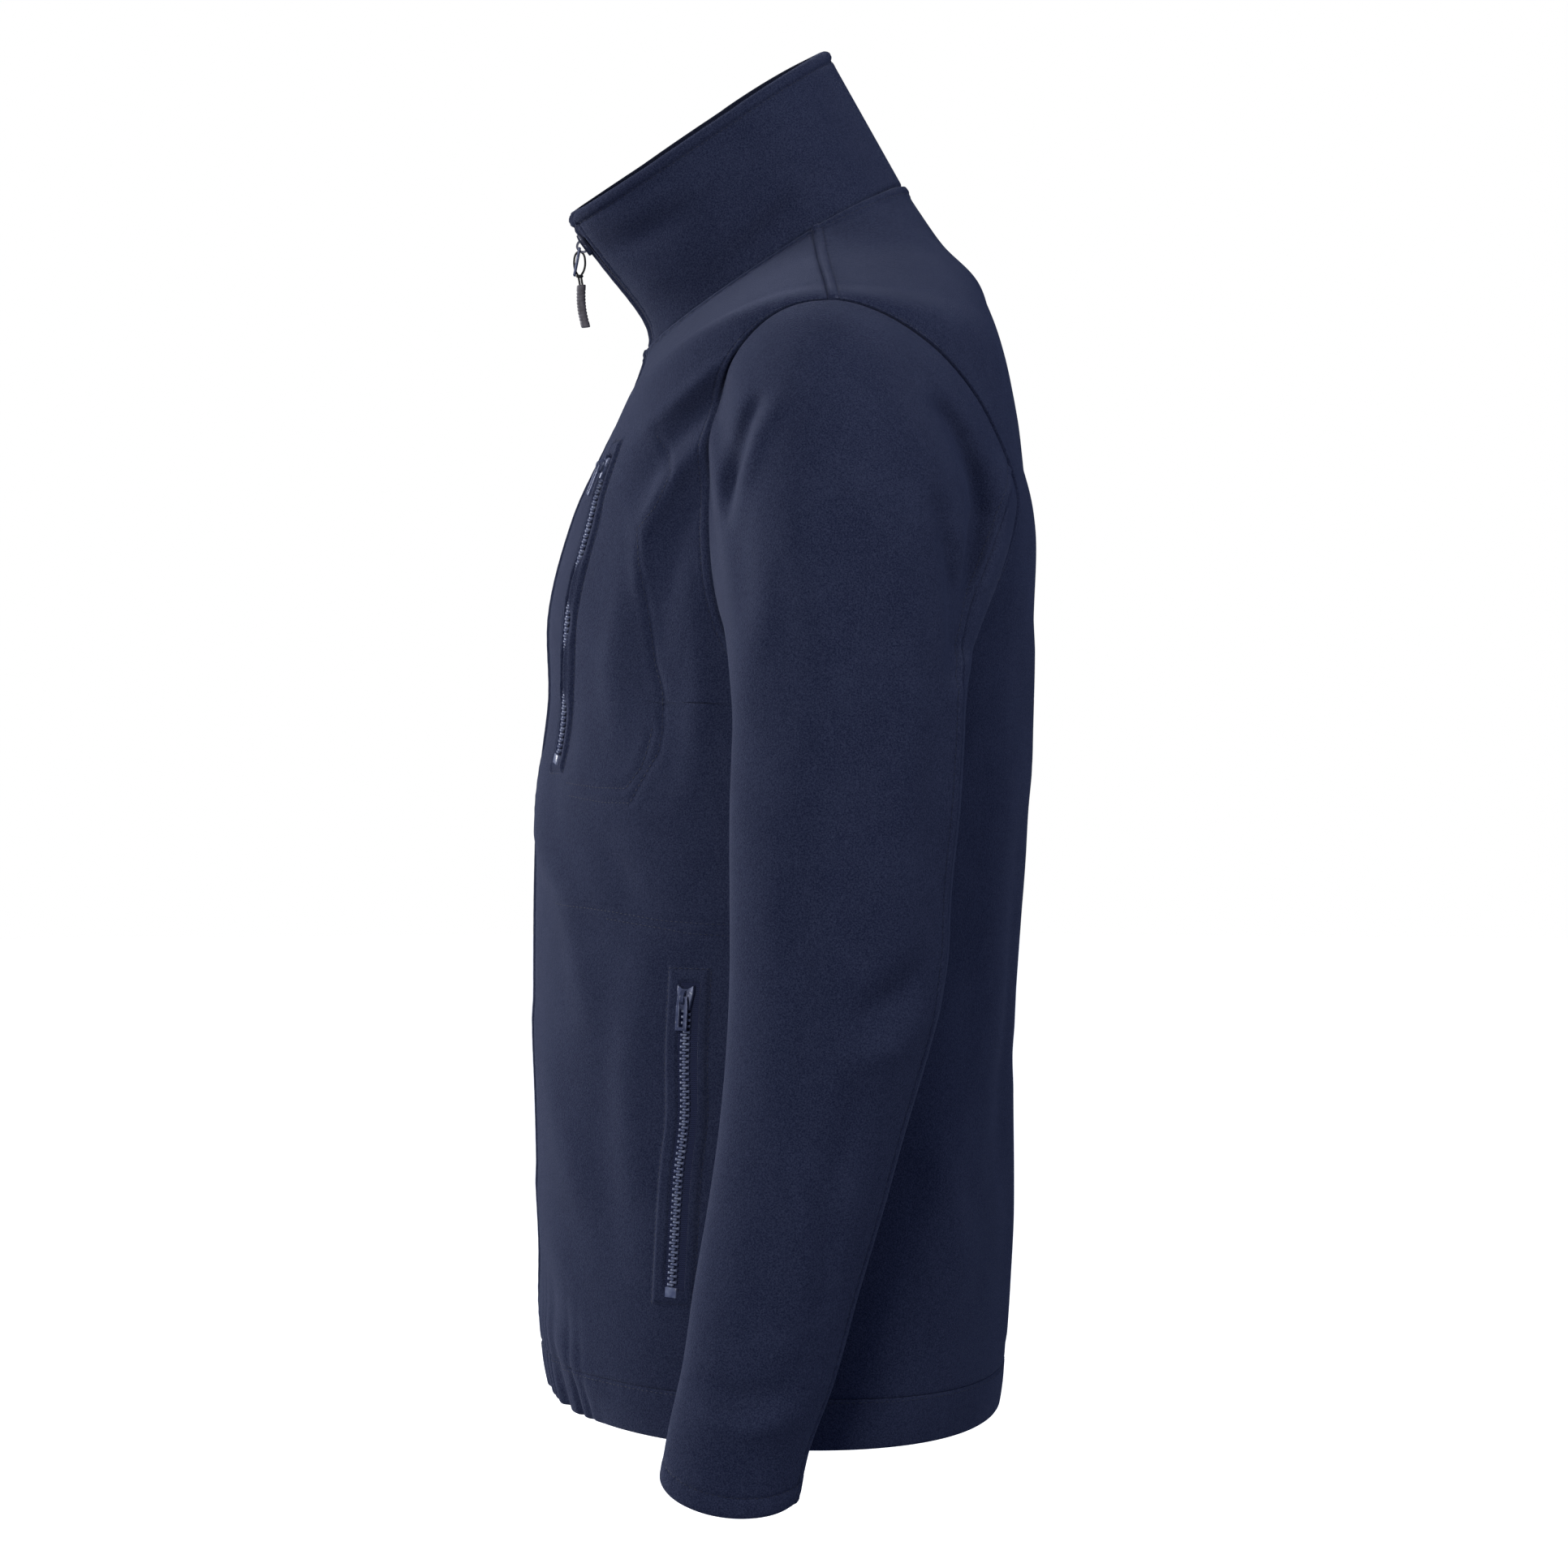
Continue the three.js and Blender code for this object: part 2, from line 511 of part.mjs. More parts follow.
// A closed wall between a grid of outer points and one of inner points. Two pieces that share a seam split
// its faces the same way, from the lower point.
const height = (p) => p.z + 0.01 * p.y;
function wallGeometry(outer, inner, loop) {
  const rows = outer.length;
  const columns = outer[0].length;
  const positions = [...outer.flat(), ...inner.flat()].flatMap((p) => [p.x, p.y, p.z]);
  const index = [];
  const out = (r, c) => r * columns + c;
  const into = (r, c) => rows * columns + out(r, c);
  for (let r = 0; r < rows - 1; r += 1) {
    for (let c = 0; c < columns - 1; c += 1) {
      const rise = outer[r][c].distanceTo(outer[r + 1][c + 1]);
      const fall = outer[r][c + 1].distanceTo(outer[r + 1][c]);
      const corners = [
        [r, c],
        [r, c + 1],
        [r + 1, c + 1],
        [r + 1, c],
      ];
      const [p, q, s, t] = rise < fall ? corners : [...corners.slice(1), corners[0]];
      index.push(out(...p), out(...q), out(...s), out(...p), out(...s), out(...t));
      index.push(into(...p), into(...s), into(...q), into(...p), into(...t), into(...s));
    }
  }
  loop.forEach(([r, c], i) => {
    const [r2, c2] = loop[(i + 1) % loop.length];
    if (height(outer[r][c]) < height(outer[r2][c2]))
      index.push(out(r, c), into(r, c), into(r2, c2), out(r, c), into(r2, c2), out(r2, c2));
    else index.push(out(r, c), into(r, c), out(r2, c2), into(r, c), into(r2, c2), out(r2, c2));
  });
  const geometry = new THREE.BufferGeometry();
  geometry.setAttribute("position", new THREE.Float32BufferAttribute(positions, 3));
  geometry.setIndex(index);
  return geometry;
}

function clothGeometry(piece) {
  const base = piece.base ?? piece.grid;
  const outer = piece.grid.map((row) => row.map((p) => p.clone()));
  const inner = base.map((row, r) =>
    row.map((p, c) => p.clone().addScaledVector(piece.normals[r][c], -piece.wall(r))),
  );
  piece.loop.forEach(([r, c], place) => {
    const atHemSeam = r === piece.hemRow;
    const joint = mitreAt(piece.grid[r][c], piece.normals[r][c]);
    if (Math.abs(piece.grid[r][c].x) < ZIP_OPENING + 0.1) joint.x = 0;
    const mitre = atHemSeam ? inHemPlane(joint).multiplyScalar(joint.length()) : joint;
    const setback = seamSetback(piece, place, mitre);
    inner[r][c] = base[r][c].clone().addScaledVector(mitre, -piece.wall(r)).add(setback);
    outer[r][c].add(setback);
  });
  return wallGeometry(outer, inner, piece.loop);
}

const jacket = new THREE.Group();

function addMesh(name, geometry, material) {
  const mesh = new THREE.Mesh(geometry, material.clone());
  mesh.name = name;
  jacket.add(mesh);
}

cloth.forEach((piece) => addMesh(piece.name, clothGeometry(piece), NAVY));

// Zips

// A strip between two heights above a grid of points.
function stripGeometry(grid, lift, thickness) {
  const normals = gridNormals(grid);
  const raise = (by) => grid.map((row, r) => row.map((p, c) => p.clone().addScaledVector(normals[r][c], by)));
  return wallGeometry(raise(lift + thickness), raise(lift), edgeLoop(grid));
}

const panel = new THREE.Mesh(wallGeometry(frontGrid, frontGrid, []), NAVY);
panel.updateMatrixWorld(true);

// The point of the left front that a straight look from outside meets.
function onFront(from, look) {
  const hit = new THREE.Raycaster(from, look).intersectObject(panel)[0];
  return hit.point;
}

// The left pocket's zip is placed from the side and the chest pocket's zip from the front.
const lookAcross = (a, z) => onFront(vector(600, a, z), vector(-1, 0, 0));
const lookAlong = (a, z) => onFront(vector(a, -600, z), vector(0, 1, 0));

function zipAt(zip, z) {
  const kink = zip.kink * Math.exp(-(((z - zip.kinkZ) / 22) ** 2));
  return lerp(zip.topAt, zip.bottomAt, (zip.topZ - z) / (zip.topZ - zip.bottomZ)) + kink;
}

// Rows run up the zip, and columns so that the strip faces out.
function zipGrid(zip, fromZ, halfWidth, columns) {
  return steps(ZIP_ROWS, (u) => {
    const z = lerp(zip.bottomZ, fromZ, u);
    return steps(columns, (side) => zip.look(zipAt(zip, z) + lerp(-halfWidth, halfWidth, side), z));
  });
}

// The centre front, from the hem's lower edge to the collar's upper edge.
const centreFront = [
  ...hemFrontGrid.slice(0, -1).map((row) => row[0]),
  ...frontGrid.map((row) => row[0]),
  ...collarGrid.slice(1).map((row) => row[0]),
];
const frontZipGrid = (path, halfWidth, sides, dome) =>
  path.map((point, i) => {
    const before = path[Math.max(i - 1, 0)];
    const after = path[Math.min(i + 1, path.length - 1)];
    const out = vector(0, -(after.z - before.z), after.y - before.y).normalize();
    return sides.map((side) => {
      const lift = dome * (1 - side * side) - FRONT_TAPE_SINK;
      return vector(side * halfWidth, point.y, point.z).addScaledVector(out, lift);
    });
  });

const mirroredGeometry = (geometry) => {
  const copy = geometry.clone().applyMatrix4(new THREE.Matrix4().makeScale(-1, 1, 1));
  const index = copy.index.array;
  for (let i = 0; i < index.length; i += 3) [index[i], index[i + 1]] = [index[i + 1], index[i]];
  return copy;
};

const zips = [
  { name: "pocket_left", ...POCKET_ZIP, look: lookAcross },
  { name: "chest", ...CHEST_ZIP, look: lookAlong },
];
const chainBelow = SLIDER.length / 2 + SEAM_GAP;
const frontTape = frontZipGrid(centreFront, ZIP_OPENING - SEAM_GAP, [-1, -0.4, 0.4, 1], ZIP_DOME);
const chained = centreFront.filter((point) => point.z < FRONT_SLIDER_Z - chainBelow);
const frontChain = frontZipGrid(chained, CHAIN_WIDTH / 2, [-1, 1], 0);
const FRONT_CHAIN_LIFT = ZIP_DOME + TAPE_THICKNESS + SEAM_GAP;
addMesh("zip_tape_front", stripGeometry(frontTape, 0, TAPE_THICKNESS), TAPE);
addMesh("zip_chain_front", stripGeometry(frontChain, FRONT_CHAIN_LIFT, CHAIN_THICKNESS), TEETH);

const TAPE_LIFT = 0.5; // of a pocket's tape above the panel
const POCKET_CHAIN_LIFT = TAPE_LIFT + TAPE_THICKNESS + SEAM_GAP;
for (const zip of zips) {
  const tape = stripGeometry(zipGrid(zip, zip.topZ, TAPE_WIDTH / 2, 3), TAPE_LIFT, TAPE_THICKNESS);
  const chainGrid = zipGrid(zip, zip.topZ - SLIDER_DOWN - chainBelow, CHAIN_WIDTH / 2, 1);
  const chain = stripGeometry(chainGrid, POCKET_CHAIN_LIFT, CHAIN_THICKNESS);
  addMesh(`zip_tape_${zip.name}`, tape, TAPE);
  addMesh(`zip_chain_${zip.name}`, chain, TEETH);
  if (zip.name === "pocket_left") {
    addMesh("zip_tape_pocket_right", mirroredGeometry(tape), TAPE);
    addMesh("zip_chain_pocket_right", mirroredGeometry(chain), TEETH);
  }
}

// Sliders and pulls

// A flat plate with holes, from an outline and holes in its own plane, standing on its lower face.
function plate(outline, holes, thickness) {
  const shape = new THREE.Shape(outline.map(([x, y]) => new THREE.Vector2(x, y)));
  for (const hole of holes) shape.holes.push(new THREE.Path(hole.map(([x, y]) => new THREE.Vector2(x, y))));
  return new THREE.ExtrudeGeometry(shape, { depth: thickness, bevelEnabled: false });
}

const box = (x0, x1, y0, y1) => [
  [x0, y0],
  [x1, y0],
  [x1, y1],
  [x0, y1],
];

// A slider with its bridge, at the middle of its lower face: x across the zip, y down it and z outwards.
function sliderGeometry() {
  const body = plate(
    [
      [-SLIDER.width / 2, -SLIDER.length / 2],
      [SLIDER.width / 2, -SLIDER.length / 2],
      [SLIDER.width / 2, -0.05 * SLIDER.length],
      [0.33 * SLIDER.width, SLIDER.length / 2],
      [-0.33 * SLIDER.width, SLIDER.length / 2],
      [-SLIDER.width / 2, -0.05 * SLIDER.length],
    ],
    [],
    SLIDER.thickness,
  );
  const half = BRIDGE.length / 2;
  const side = [
    [-half, -0.3],
    [-half + BRIDGE.foot, -0.3],
    [-half + BRIDGE.foot, BRIDGE.height - BRIDGE.bar],
    [half - BRIDGE.foot, BRIDGE.height - BRIDGE.bar],
    [half - BRIDGE.foot, -0.3],
    [half, -0.3],
    [half, BRIDGE.height - 0.6],
    [half - 0.8, BRIDGE.height],
    [-half + 0.8, BRIDGE.height],
    [-half, BRIDGE.height - 0.6],
  ];
  const bridge = plate(side, [], BRIDGE.width);
  bridge.translate(0, 0, -BRIDGE.width / 2);
  bridge.applyMatrix4(new THREE.Matrix4().makeBasis(vector(0, 1, 0), vector(0, 0, 1), vector(1, 0, 0)));
  bridge.translate(0, 0, SLIDER.thickness);
  return joined([body, bridge]);
}

// A pull tab, with the axis that it hangs on at its origin: x along the axis, y down the tab and z off its face
function tabGeometry(length) {
  const half = TAB.width / 2;
  const top = -TAB.bar / 2;
  const outline = [
    [-half + 0.8, top],
    [half - 0.8, top],
    [half, top + 0.8],
    [half, length - 1.2],
    [half - 1.2, length],
    [-half + 1.2, length],
    [-half, length - 1.2],
    [-half, top + 0.8],
  ];
  const eyeEnd = TAB.bar / 2 + TAB.eyeLength;
  const holes = [box(-TAB.eyeWidth / 2, TAB.eyeWidth / 2, TAB.bar / 2, eyeEnd)];
  const windowEnd = length - 1.8;
  if (windowEnd - TAB_WINDOW.length > eyeEnd + 1.5)
    holes.push(box(-TAB_WINDOW.width / 2, TAB_WINDOW.width / 2, windowEnd - TAB_WINDOW.length, windowEnd));
  return plate(outline, holes, TAB.thickness).translate(0, 0, -TAB.thickness / 2);
}

// The cord that loops through the front tab's eye, its knot and the end that runs on to the grip
function cordGeometry() {
  const eyeEnd = TAB.bar / 2 + TAB.eyeLength;
  const loop = [
    [eyeEnd - CORD_RADIUS - 0.1, 0],
    [eyeEnd + 0.6, 2.3],
    [10.5, 3],
    [13.6, 1.6],
    [KNOT.down, 0.2],
    [KNOT.down, -0.2],
    [13.6, -1.6],
    [10.5, -3],
    [eyeEnd + 0.6, -2.3],
  ].map(([y, z]) => vector(0, y, z));
  const curve = new THREE.CatmullRomCurve3(loop, true);
  const tube = new THREE.TubeGeometry(curve, 26, CORD_RADIUS, 6, true);
  const knot = new THREE.SphereGeometry(KNOT.radius, 10, 7).translate(0, KNOT.down, 0);
  const end = new THREE.CylinderGeometry(0.95, 0.95, GRIP.down - SEAM_GAP - KNOT.down, 8);
  end.translate(0, (GRIP.down - SEAM_GAP + KNOT.down) / 2, 0);
  return joined([tube, knot, end]);
}

// A ribbed rubber grip, flattened a little and bowed
function gripGeometry() {
  const profile = steps(2 * GRIP.ribs + 2, (u, i) => {
    const atEnd = i <= 0 || i >= 2 * GRIP.ribs + 2;
    const radius = atEnd ? GRIP.radius * 0.72 : GRIP.radius * (i % 2 ? 1 : 0.88);
    return new THREE.Vector2(radius, u * GRIP.length);
  });
  const ends = [new THREE.Vector2(0, 0), ...profile, new THREE.Vector2(0, GRIP.length)];
  const lathe = new THREE.LatheGeometry(ends, 10).scale(1, 1, GRIP.flatness);
  const position = lathe.attributes.position;
  for (let i = 0; i < position.count; i += 1) {
    const bow = Math.sin((Math.PI * position.getY(i)) / GRIP.length);
    position.setZ(i, position.getZ(i) + 1.2 * bow);
  }
  return joined([lathe.translate(0, GRIP.down, 0)]);
}

// One closed body from several that overlap
function joined(geometries) {
  const solids = geometries.map(solidOf);
  const result = solids.reduce((all, one) => all.add(one)).getMesh();
  const geometry = new THREE.BufferGeometry();
  geometry.setAttribute("position", new THREE.Float32BufferAttribute(result.vertProperties, 3));
  geometry.setIndex(Array.from(result.triVerts));
  return geometry;
}

function solidOf(source) {
  const bare = new THREE.BufferGeometry().setAttribute("position", source.attributes.position);
  if (source.index) bare.setIndex(source.index);
  const merged = mergeVertices(bare, 1e-4);
  const mesh = new wasm.Mesh({
    numProp: 3,
    vertProperties: Float32Array.from(merged.attributes.position.array),
    triVerts: Uint32Array.from(merged.index.array),
  });
  mesh.merge();
  return new wasm.Manifold(mesh);
}

// The directions at a place on a zip: across and down it, and out from it.
function placeOnZip(point, below, across) {
  const down = below.clone().sub(point).normalize();
  const out = down.clone().cross(across).normalize();
  return { point, down, out, side: down.clone().cross(out) };
}

const matrixAt = ({ side, down, out }, origin) =>
  new THREE.Matrix4().makeBasis(side, down, out).setPosition(origin);

const AXIS_HEIGHT = SLIDER.thickness + BRIDGE.height - BRIDGE.bar - 1.1;

for (const zip of zips) {
  const z = zip.topZ - SLIDER_DOWN;
  const [above, below] = [z + 5, z - 5].map((at) => zip.look(zipAt(zip, at), at));
  const across = zip.look(zipAt(zip, z) + 3, z).sub(zip.look(zipAt(zip, z) - 3, z));
  const place = placeOnZip(above.clone().lerp(below, 0.5), below, across);
  const seat = place.point.clone().addScaledVector(place.out, POCKET_CHAIN_LIFT);
  const axis = seat.clone().addScaledVector(place.out, AXIS_HEIGHT);
  const slider = sliderGeometry().applyMatrix4(matrixAt(place, seat));
  const pull = joined([tabGeometry(TAB.length).applyMatrix4(matrixAt(place, axis))]);
  addMesh(`slider_${zip.name}`, slider, PULL);
  addMesh(`pull_${zip.name}`, pull, PULL);
  if (zip.name === "pocket_left") {
    addMesh("slider_pocket_right", mirroredGeometry(slider), PULL);
    addMesh("pull_pocket_right", mirroredGeometry(pull), PULL);
  }
}

// The front zip's slider, below the top of the collar. Its tab hangs straight down.
const over = centreFront.findIndex((point) => point.z > FRONT_SLIDER_Z);
const [lower, upper] = [centreFront[over - 1], centreFront[over]];
const middle = lower.clone().lerp(upper, (FRONT_SLIDER_Z - lower.z) / (upper.z - lower.z)).setX(0);
const fall = lower.clone().sub(upper).setX(0);
const frontPlace = placeOnZip(middle, middle.clone().add(fall), vector(1, 0, 0));
const frontSeat = middle.clone().addScaledVector(frontPlace.out, FRONT_CHAIN_LIFT - FRONT_TAPE_SINK);
const frontAxis = frontSeat.clone().addScaledVector(frontPlace.out, AXIS_HEIGHT);
const straightDown = { side: vector(-1, 0, 0), down: vector(0, 0, -1), out: vector(0, -1, 0) };
const hanging = matrixAt(straightDown, frontAxis);
addMesh("slider_front", sliderGeometry().applyMatrix4(matrixAt(frontPlace, frontSeat)), PULL);
addMesh("pull_front", joined([tabGeometry(FRONT_TAB_LENGTH).applyMatrix4(hanging)]), PULL);
addMesh("pull_cord_front", cordGeometry().applyMatrix4(hanging), TAPE);
addMesh("pull_grip_front", gripGeometry().applyMatrix4(hanging), RUBBER);

export default jacket;
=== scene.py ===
"""The looks of a fleece zip jacket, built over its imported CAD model.

The cloth is made as dense walls from the same named sizes and surface functions as the part's source, in
millimetres, and becomes metres where a mesh is made.
"""
import json
import math

import bpy
import numpy as np
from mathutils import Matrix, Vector
from mathutils.bvhtree import BVHTree


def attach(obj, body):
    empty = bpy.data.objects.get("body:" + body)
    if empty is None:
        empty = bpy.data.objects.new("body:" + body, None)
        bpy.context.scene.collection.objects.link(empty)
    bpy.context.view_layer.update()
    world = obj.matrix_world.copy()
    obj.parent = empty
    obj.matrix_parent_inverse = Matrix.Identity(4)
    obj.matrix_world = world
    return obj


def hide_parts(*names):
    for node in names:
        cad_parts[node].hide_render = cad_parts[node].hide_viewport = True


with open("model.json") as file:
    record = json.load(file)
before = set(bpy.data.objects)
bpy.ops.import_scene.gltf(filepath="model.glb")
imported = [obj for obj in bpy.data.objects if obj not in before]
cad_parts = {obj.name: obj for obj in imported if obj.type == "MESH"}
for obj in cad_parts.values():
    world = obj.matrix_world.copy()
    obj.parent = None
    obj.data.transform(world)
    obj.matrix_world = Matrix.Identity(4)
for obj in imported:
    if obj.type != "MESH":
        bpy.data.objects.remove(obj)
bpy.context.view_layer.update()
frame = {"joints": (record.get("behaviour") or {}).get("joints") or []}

MM = 0.001

# Camera
PHOTO = 1932  # pixels along each side
FOCAL = 5040  # pixels
HORIZON = 866  # the photograph's row at the camera's height


def look_at(thing, target):
    thing.rotation_euler = (Vector(target) - thing.location).to_track_quat("-Z", "Y").to_euler()


def make_camera():
    camera = bpy.data.cameras.new("camera")
    camera.sensor_width = 36
    camera.lens = FOCAL / PHOTO * camera.sensor_width
    camera.shift_y = (HORIZON - PHOTO / 2) / PHOTO
    holder = bpy.data.objects.new("camera", camera)
    holder.location = (2.4, -0.02, -0.215)
    bpy.context.scene.collection.objects.link(holder)
    look_at(holder, (0, -0.02, -0.215))
    bpy.context.scene.camera = holder


make_camera()

# Sizes of the cloth
FLEECE = 2.4
TURNED_HEM = 4.2
COLLAR_WALL = 5.0
ZIP_OPENING = 8
COLLAR_HEIGHT = 90
COLLAR_LEAN = math.radians(29.3)
COLLAR_TOP_NARROWING = 4
COLLAR_RISE = {"middle": 3.5, "side": -10, "back": 3}
COLLAR_TIP = 5
COLLAR_CORNER = 8.0  # radius of the top front corners
COLLAR_FRONT_DIP = 85
NECK_SIDE = 72  # half the neck's width
NECK_FRONT = -100.5
CUFF_HEM = 11
TOPSTITCH = 6.2  # from a seam to its row of stitches
COLLAR_STITCH = 7.5  # from the collar's top to its row
GRID = 3.2  # spacing of the cloth's points
FINE_GRID = 2.4

TORSO_NAMES = "sideX sideY sideZ frontY frontZ backY backZ frontPower backPower frontBend backBend"
TORSO_RINGS = [
    [213, -20, -615, -154, -611, 105.5, -618, 2.15, 2.35, 1, 1],
    [212, -20, -587, -160, -584, 108, -591, 2.2, 2.5, 1, 1],
    [212, -20, -530, -162, -530, 110, -530, 2.25, 2.5, 1, 1],
    [209, -17, -450, -164, -450, 112, -450, 2.2, 2.5, 1, 1],
    [206, -12, -370, -165, -370, 116, -370, 2.15, 2.5, 1, 1],
    [204, -3, -300, -164, -300, 120.5, -300, 2.1, 2.6, 1, 1],
    [204, 5, -250, -161, -250, 122, -250, 2.05, 2.7, 1, 1],
    [204, 9, -216, -156.5, -215, 122, -214, 2.05, 2.9, 1, 1],
    [206, 10, -165, -156.5, -164, 124, -162, 2.05, 3, 1, 1],
    [209, 10, -108, -143, -110, 125, -112, 2.1, 3, 1, 1],
    [214, 8, -52, -126, -72, 118.5, -68, 2.2, 2.9, 1.4, 1.4],
    [222, 3.4, 0, -112, -44, 107.5, -19, 2.4, 2.8, 1.8, 1.8],
    [190, 2, 12, -107.5, -34.5, 101.3, 5, 2.4, 2.6, 1.6, 1.6],
    [152, 0, 24, -104, -25.5, 91.5, 28, 2.35, 2.3, 1.4, 1.4],
    [112, -2, 37, -101, -16.5, 73.5, 51, 2.2, 2.1, 1.2, 1.2],
    [72, -4.3, 54, -98.5, -7.4, 49.5, 87, 2.1, 2.1, 1, 1],
]
HEM_SEAM = 1
UNDERARM = 7
SHOULDER = 11
ARMHOLE = {"centreY": 6, "centreZ": -102, "front": 67, "back": 102, "up": 102, "down": 114}
ARMHOLE_POWER = {"frontUp": 2.35, "frontDown": 2.6, "backUp": 1.62, "backDown": 1.68}
AROUND = 24  # steps round the armhole, from the shoulder point down the front
BACK_SEAM = 19  # the step at which the sleeve's back seam meets the armhole

SLEEVE_NAMES = "z centreX centreY halfDepth halfWidth slopeBack slopeOut"
SLEEVE_RINGS = [
    [-229, 259.5, 14, 61, 50, 0, 0],
    [-271, 261, 12, 60.5, 49.5, 0, 0],
    [-313, 262, 10, 58.5, 49, 0.02, -0.03],
    [-355, 262, 8.5, 57, 47.5, 0.04, -0.06],
    [-397, 262, 3, 53.5, 45.5, 0.05, -0.1],
    [-438, 261.5, -5, 49.3, 43, 0.04, -0.14],
    [-480, 261, -14, 46.3, 41, 0.02, -0.18],
    [-522, 260.5, -24, 43.3, 38.5, -0.02, -0.23],
    [-564, 260, -33, 40.3, 36.5, -0.05, -0.28],
    [-600, 259, -43.5, 37.6, 35, -0.06, -0.3],
    [-625, 258.5, -48.5, 36.8, 35, -0.1, -0.3],
]

# Folds: the height, the width and the line that each follows. Above 0 is a ridge, and below 0 a trough.
# Those of the body's sides, the sleeves and the collar are drawn in the side view (y, z).
BOTH_SIDES = [
    (3.4, 11, [(-40, -22), (-81, -51), (-99, -68), (-118, -98)]),
    (3.4, 12, [(-58, -62), (-78, -83), (-91, -104), (-104, -132)]),
    (3.2, 9, [(-152, -292), (-142, -322), (-136, -346), (-128, -388)]),
    (3.0, 10, [(-158, -402), (-149, -437), (-137, -482)]),
    (2.6, 9, [(-156, -498), (-145, -524), (-133, -565)]),
    (-2.6, 9, [(-141, -222), (-152, -262)]),
    (-3.0, 16, [(96, -180), (90, -300), (84, -420)]),
]
BODY_FOLDS = {
    1: [
        (3.6, 5, [(-42, -25), (-61, -40), (-75, -51), (-92, -64)]),
        (-4.6, 6.5, [(-48, -44), (-64, -57), (-82, -76), (-98, -100)]),
        (4.0, 5, [(-56, -66), (-66, -78), (-82, -98), (-96, -122), (-99, -152)]),
        (-2.8, 7, [(-52, -84), (-66, -98), (-78, -122), (-82, -150)]),
        (2.7, 8, [(-108, -150), (-116, -196), (-112, -236)]),
        (-2.9, 9, [(-86, -150), (-92, -196), (-84, -226)]),
        (3.2, 10, [(-70, -150), (-64, -210), (-70, -262)]),
        (-3.2, 10, [(-120, -292), (-106, -322), (-78, -334)]),
        (2.7, 11, [(-96, -356), (-106, -420), (-100, -476)]),
        (-3.2, 12, [(-118, -400), (-122, -460), (-114, -520)]),
        (3.4, 8, [(-148, -566), (-137, -582), (-127, -590)]),
        (3.6, 7, [(-160, -250), (-158, -290), (-151, -312)]),
        (2.9, 11, [(60, -30), (84, -60), (98, -104)]),
        (-3.2, 13, [(70, -10), (92, -44), (104, -84)]),
        (3.4, 14, [(104, -250), (98, -330), (102, -400)]),
        (2.9, 12, [(60, -440), (74, -510), (70, -566)]),
    ],
    -1: [
        (-4.2, 7, [(-62, -52), (-82, -78), (-92, -104)]),
        (3.2, 9, [(-104, -140), (-110, -190), (-120, -232)]),
        (-3.2, 10, [(-80, -160), (-86, -214), (-76, -250)]),
        (3.4, 11, [(-64, -140), (-60, -206), (-72, -270)]),
        (-3.6, 11, [(-126, -300), (-104, -330), (-72, -330)]),
        (3.2, 12, [(-90, -340), (-98, -410), (-90, -470)]),
        (-3.4, 12, [(-112, -420), (-116, -474), (-104, -530)]),
        (2.9, 12, [(58, -36), (80, -70), (94, -116)]),
        (-3.4, 14, [(74, -16), (94, -54), (106, -96)]),
        (3.6, 14, [(98, -240), (94, -310), (100, -390)]),
        (3.2, 12, [(64, -430), (80, -496), (76, -560)]),
    ],
}
# Those of the back are drawn in the back view (x, z).
BACK_FOLDS = [
    (-4.2, 22, [(120, -52), (70, -84), (24, -100)]),
    (-3.8, 24, [(-114, -58), (-66, -92), (-20, -104)]),
    (3.6, 20, [(150, -150), (104, -190), (70, -250)]),
    (4.0, 21, [(-156, -140), (-112, -184), (-84, -240)]),
    (-4.0, 22, [(40, -190), (28, -300), (44, -400)]),
    (3.8, 24, [(-30, -210), (-44, -320), (-34, -430)]),
    (-3.6, 20, [(112, -300), (96, -380), (110, -470)]),
    (3.4, 22, [(-108, -320), (-120, -410), (-104, -500)]),
    (3.4, 18, [(70, -440), (62, -510), (74, -570)]),
    (-3.4, 18, [(-64, -460), (-72, -520), (-60, -576)]),
    (3.0, 14, [(60, 40), (20, 30), (-20, 34), (-58, 44)]),
]
SLEEVE_BOTH = [
    (-15.0, 4.6, [(-35, -58), (-41, -70), (-45, -83), (-49, -97), (-51, -114)]),
    (4.5, 4.5, [(-25, -62), (-33, -74), (-38, -88), (-43, -104), (-45, -122)]),
    (3.5, 9, [(-28, -142), (-32, -168), (-40, -204)]),
    (-20.0, 6.5, [(64, -60), (76, -76), (85, -96), (88, -112), (84, -131), (79, -151), (76, -184)]),
    (6.0, 6, [(100, -86), (101, -106), (96, -130), (90, -150)]),
    (-11.0, 5.5, [(60, -112), (67, -136), (70, -160), (70, -200)]),
    (5.0, 5, [(74, -128), (75, -150), (74, -176)]),
    (4.0, 9, [(44, -60), (56, -92), (62, -120)]),
]
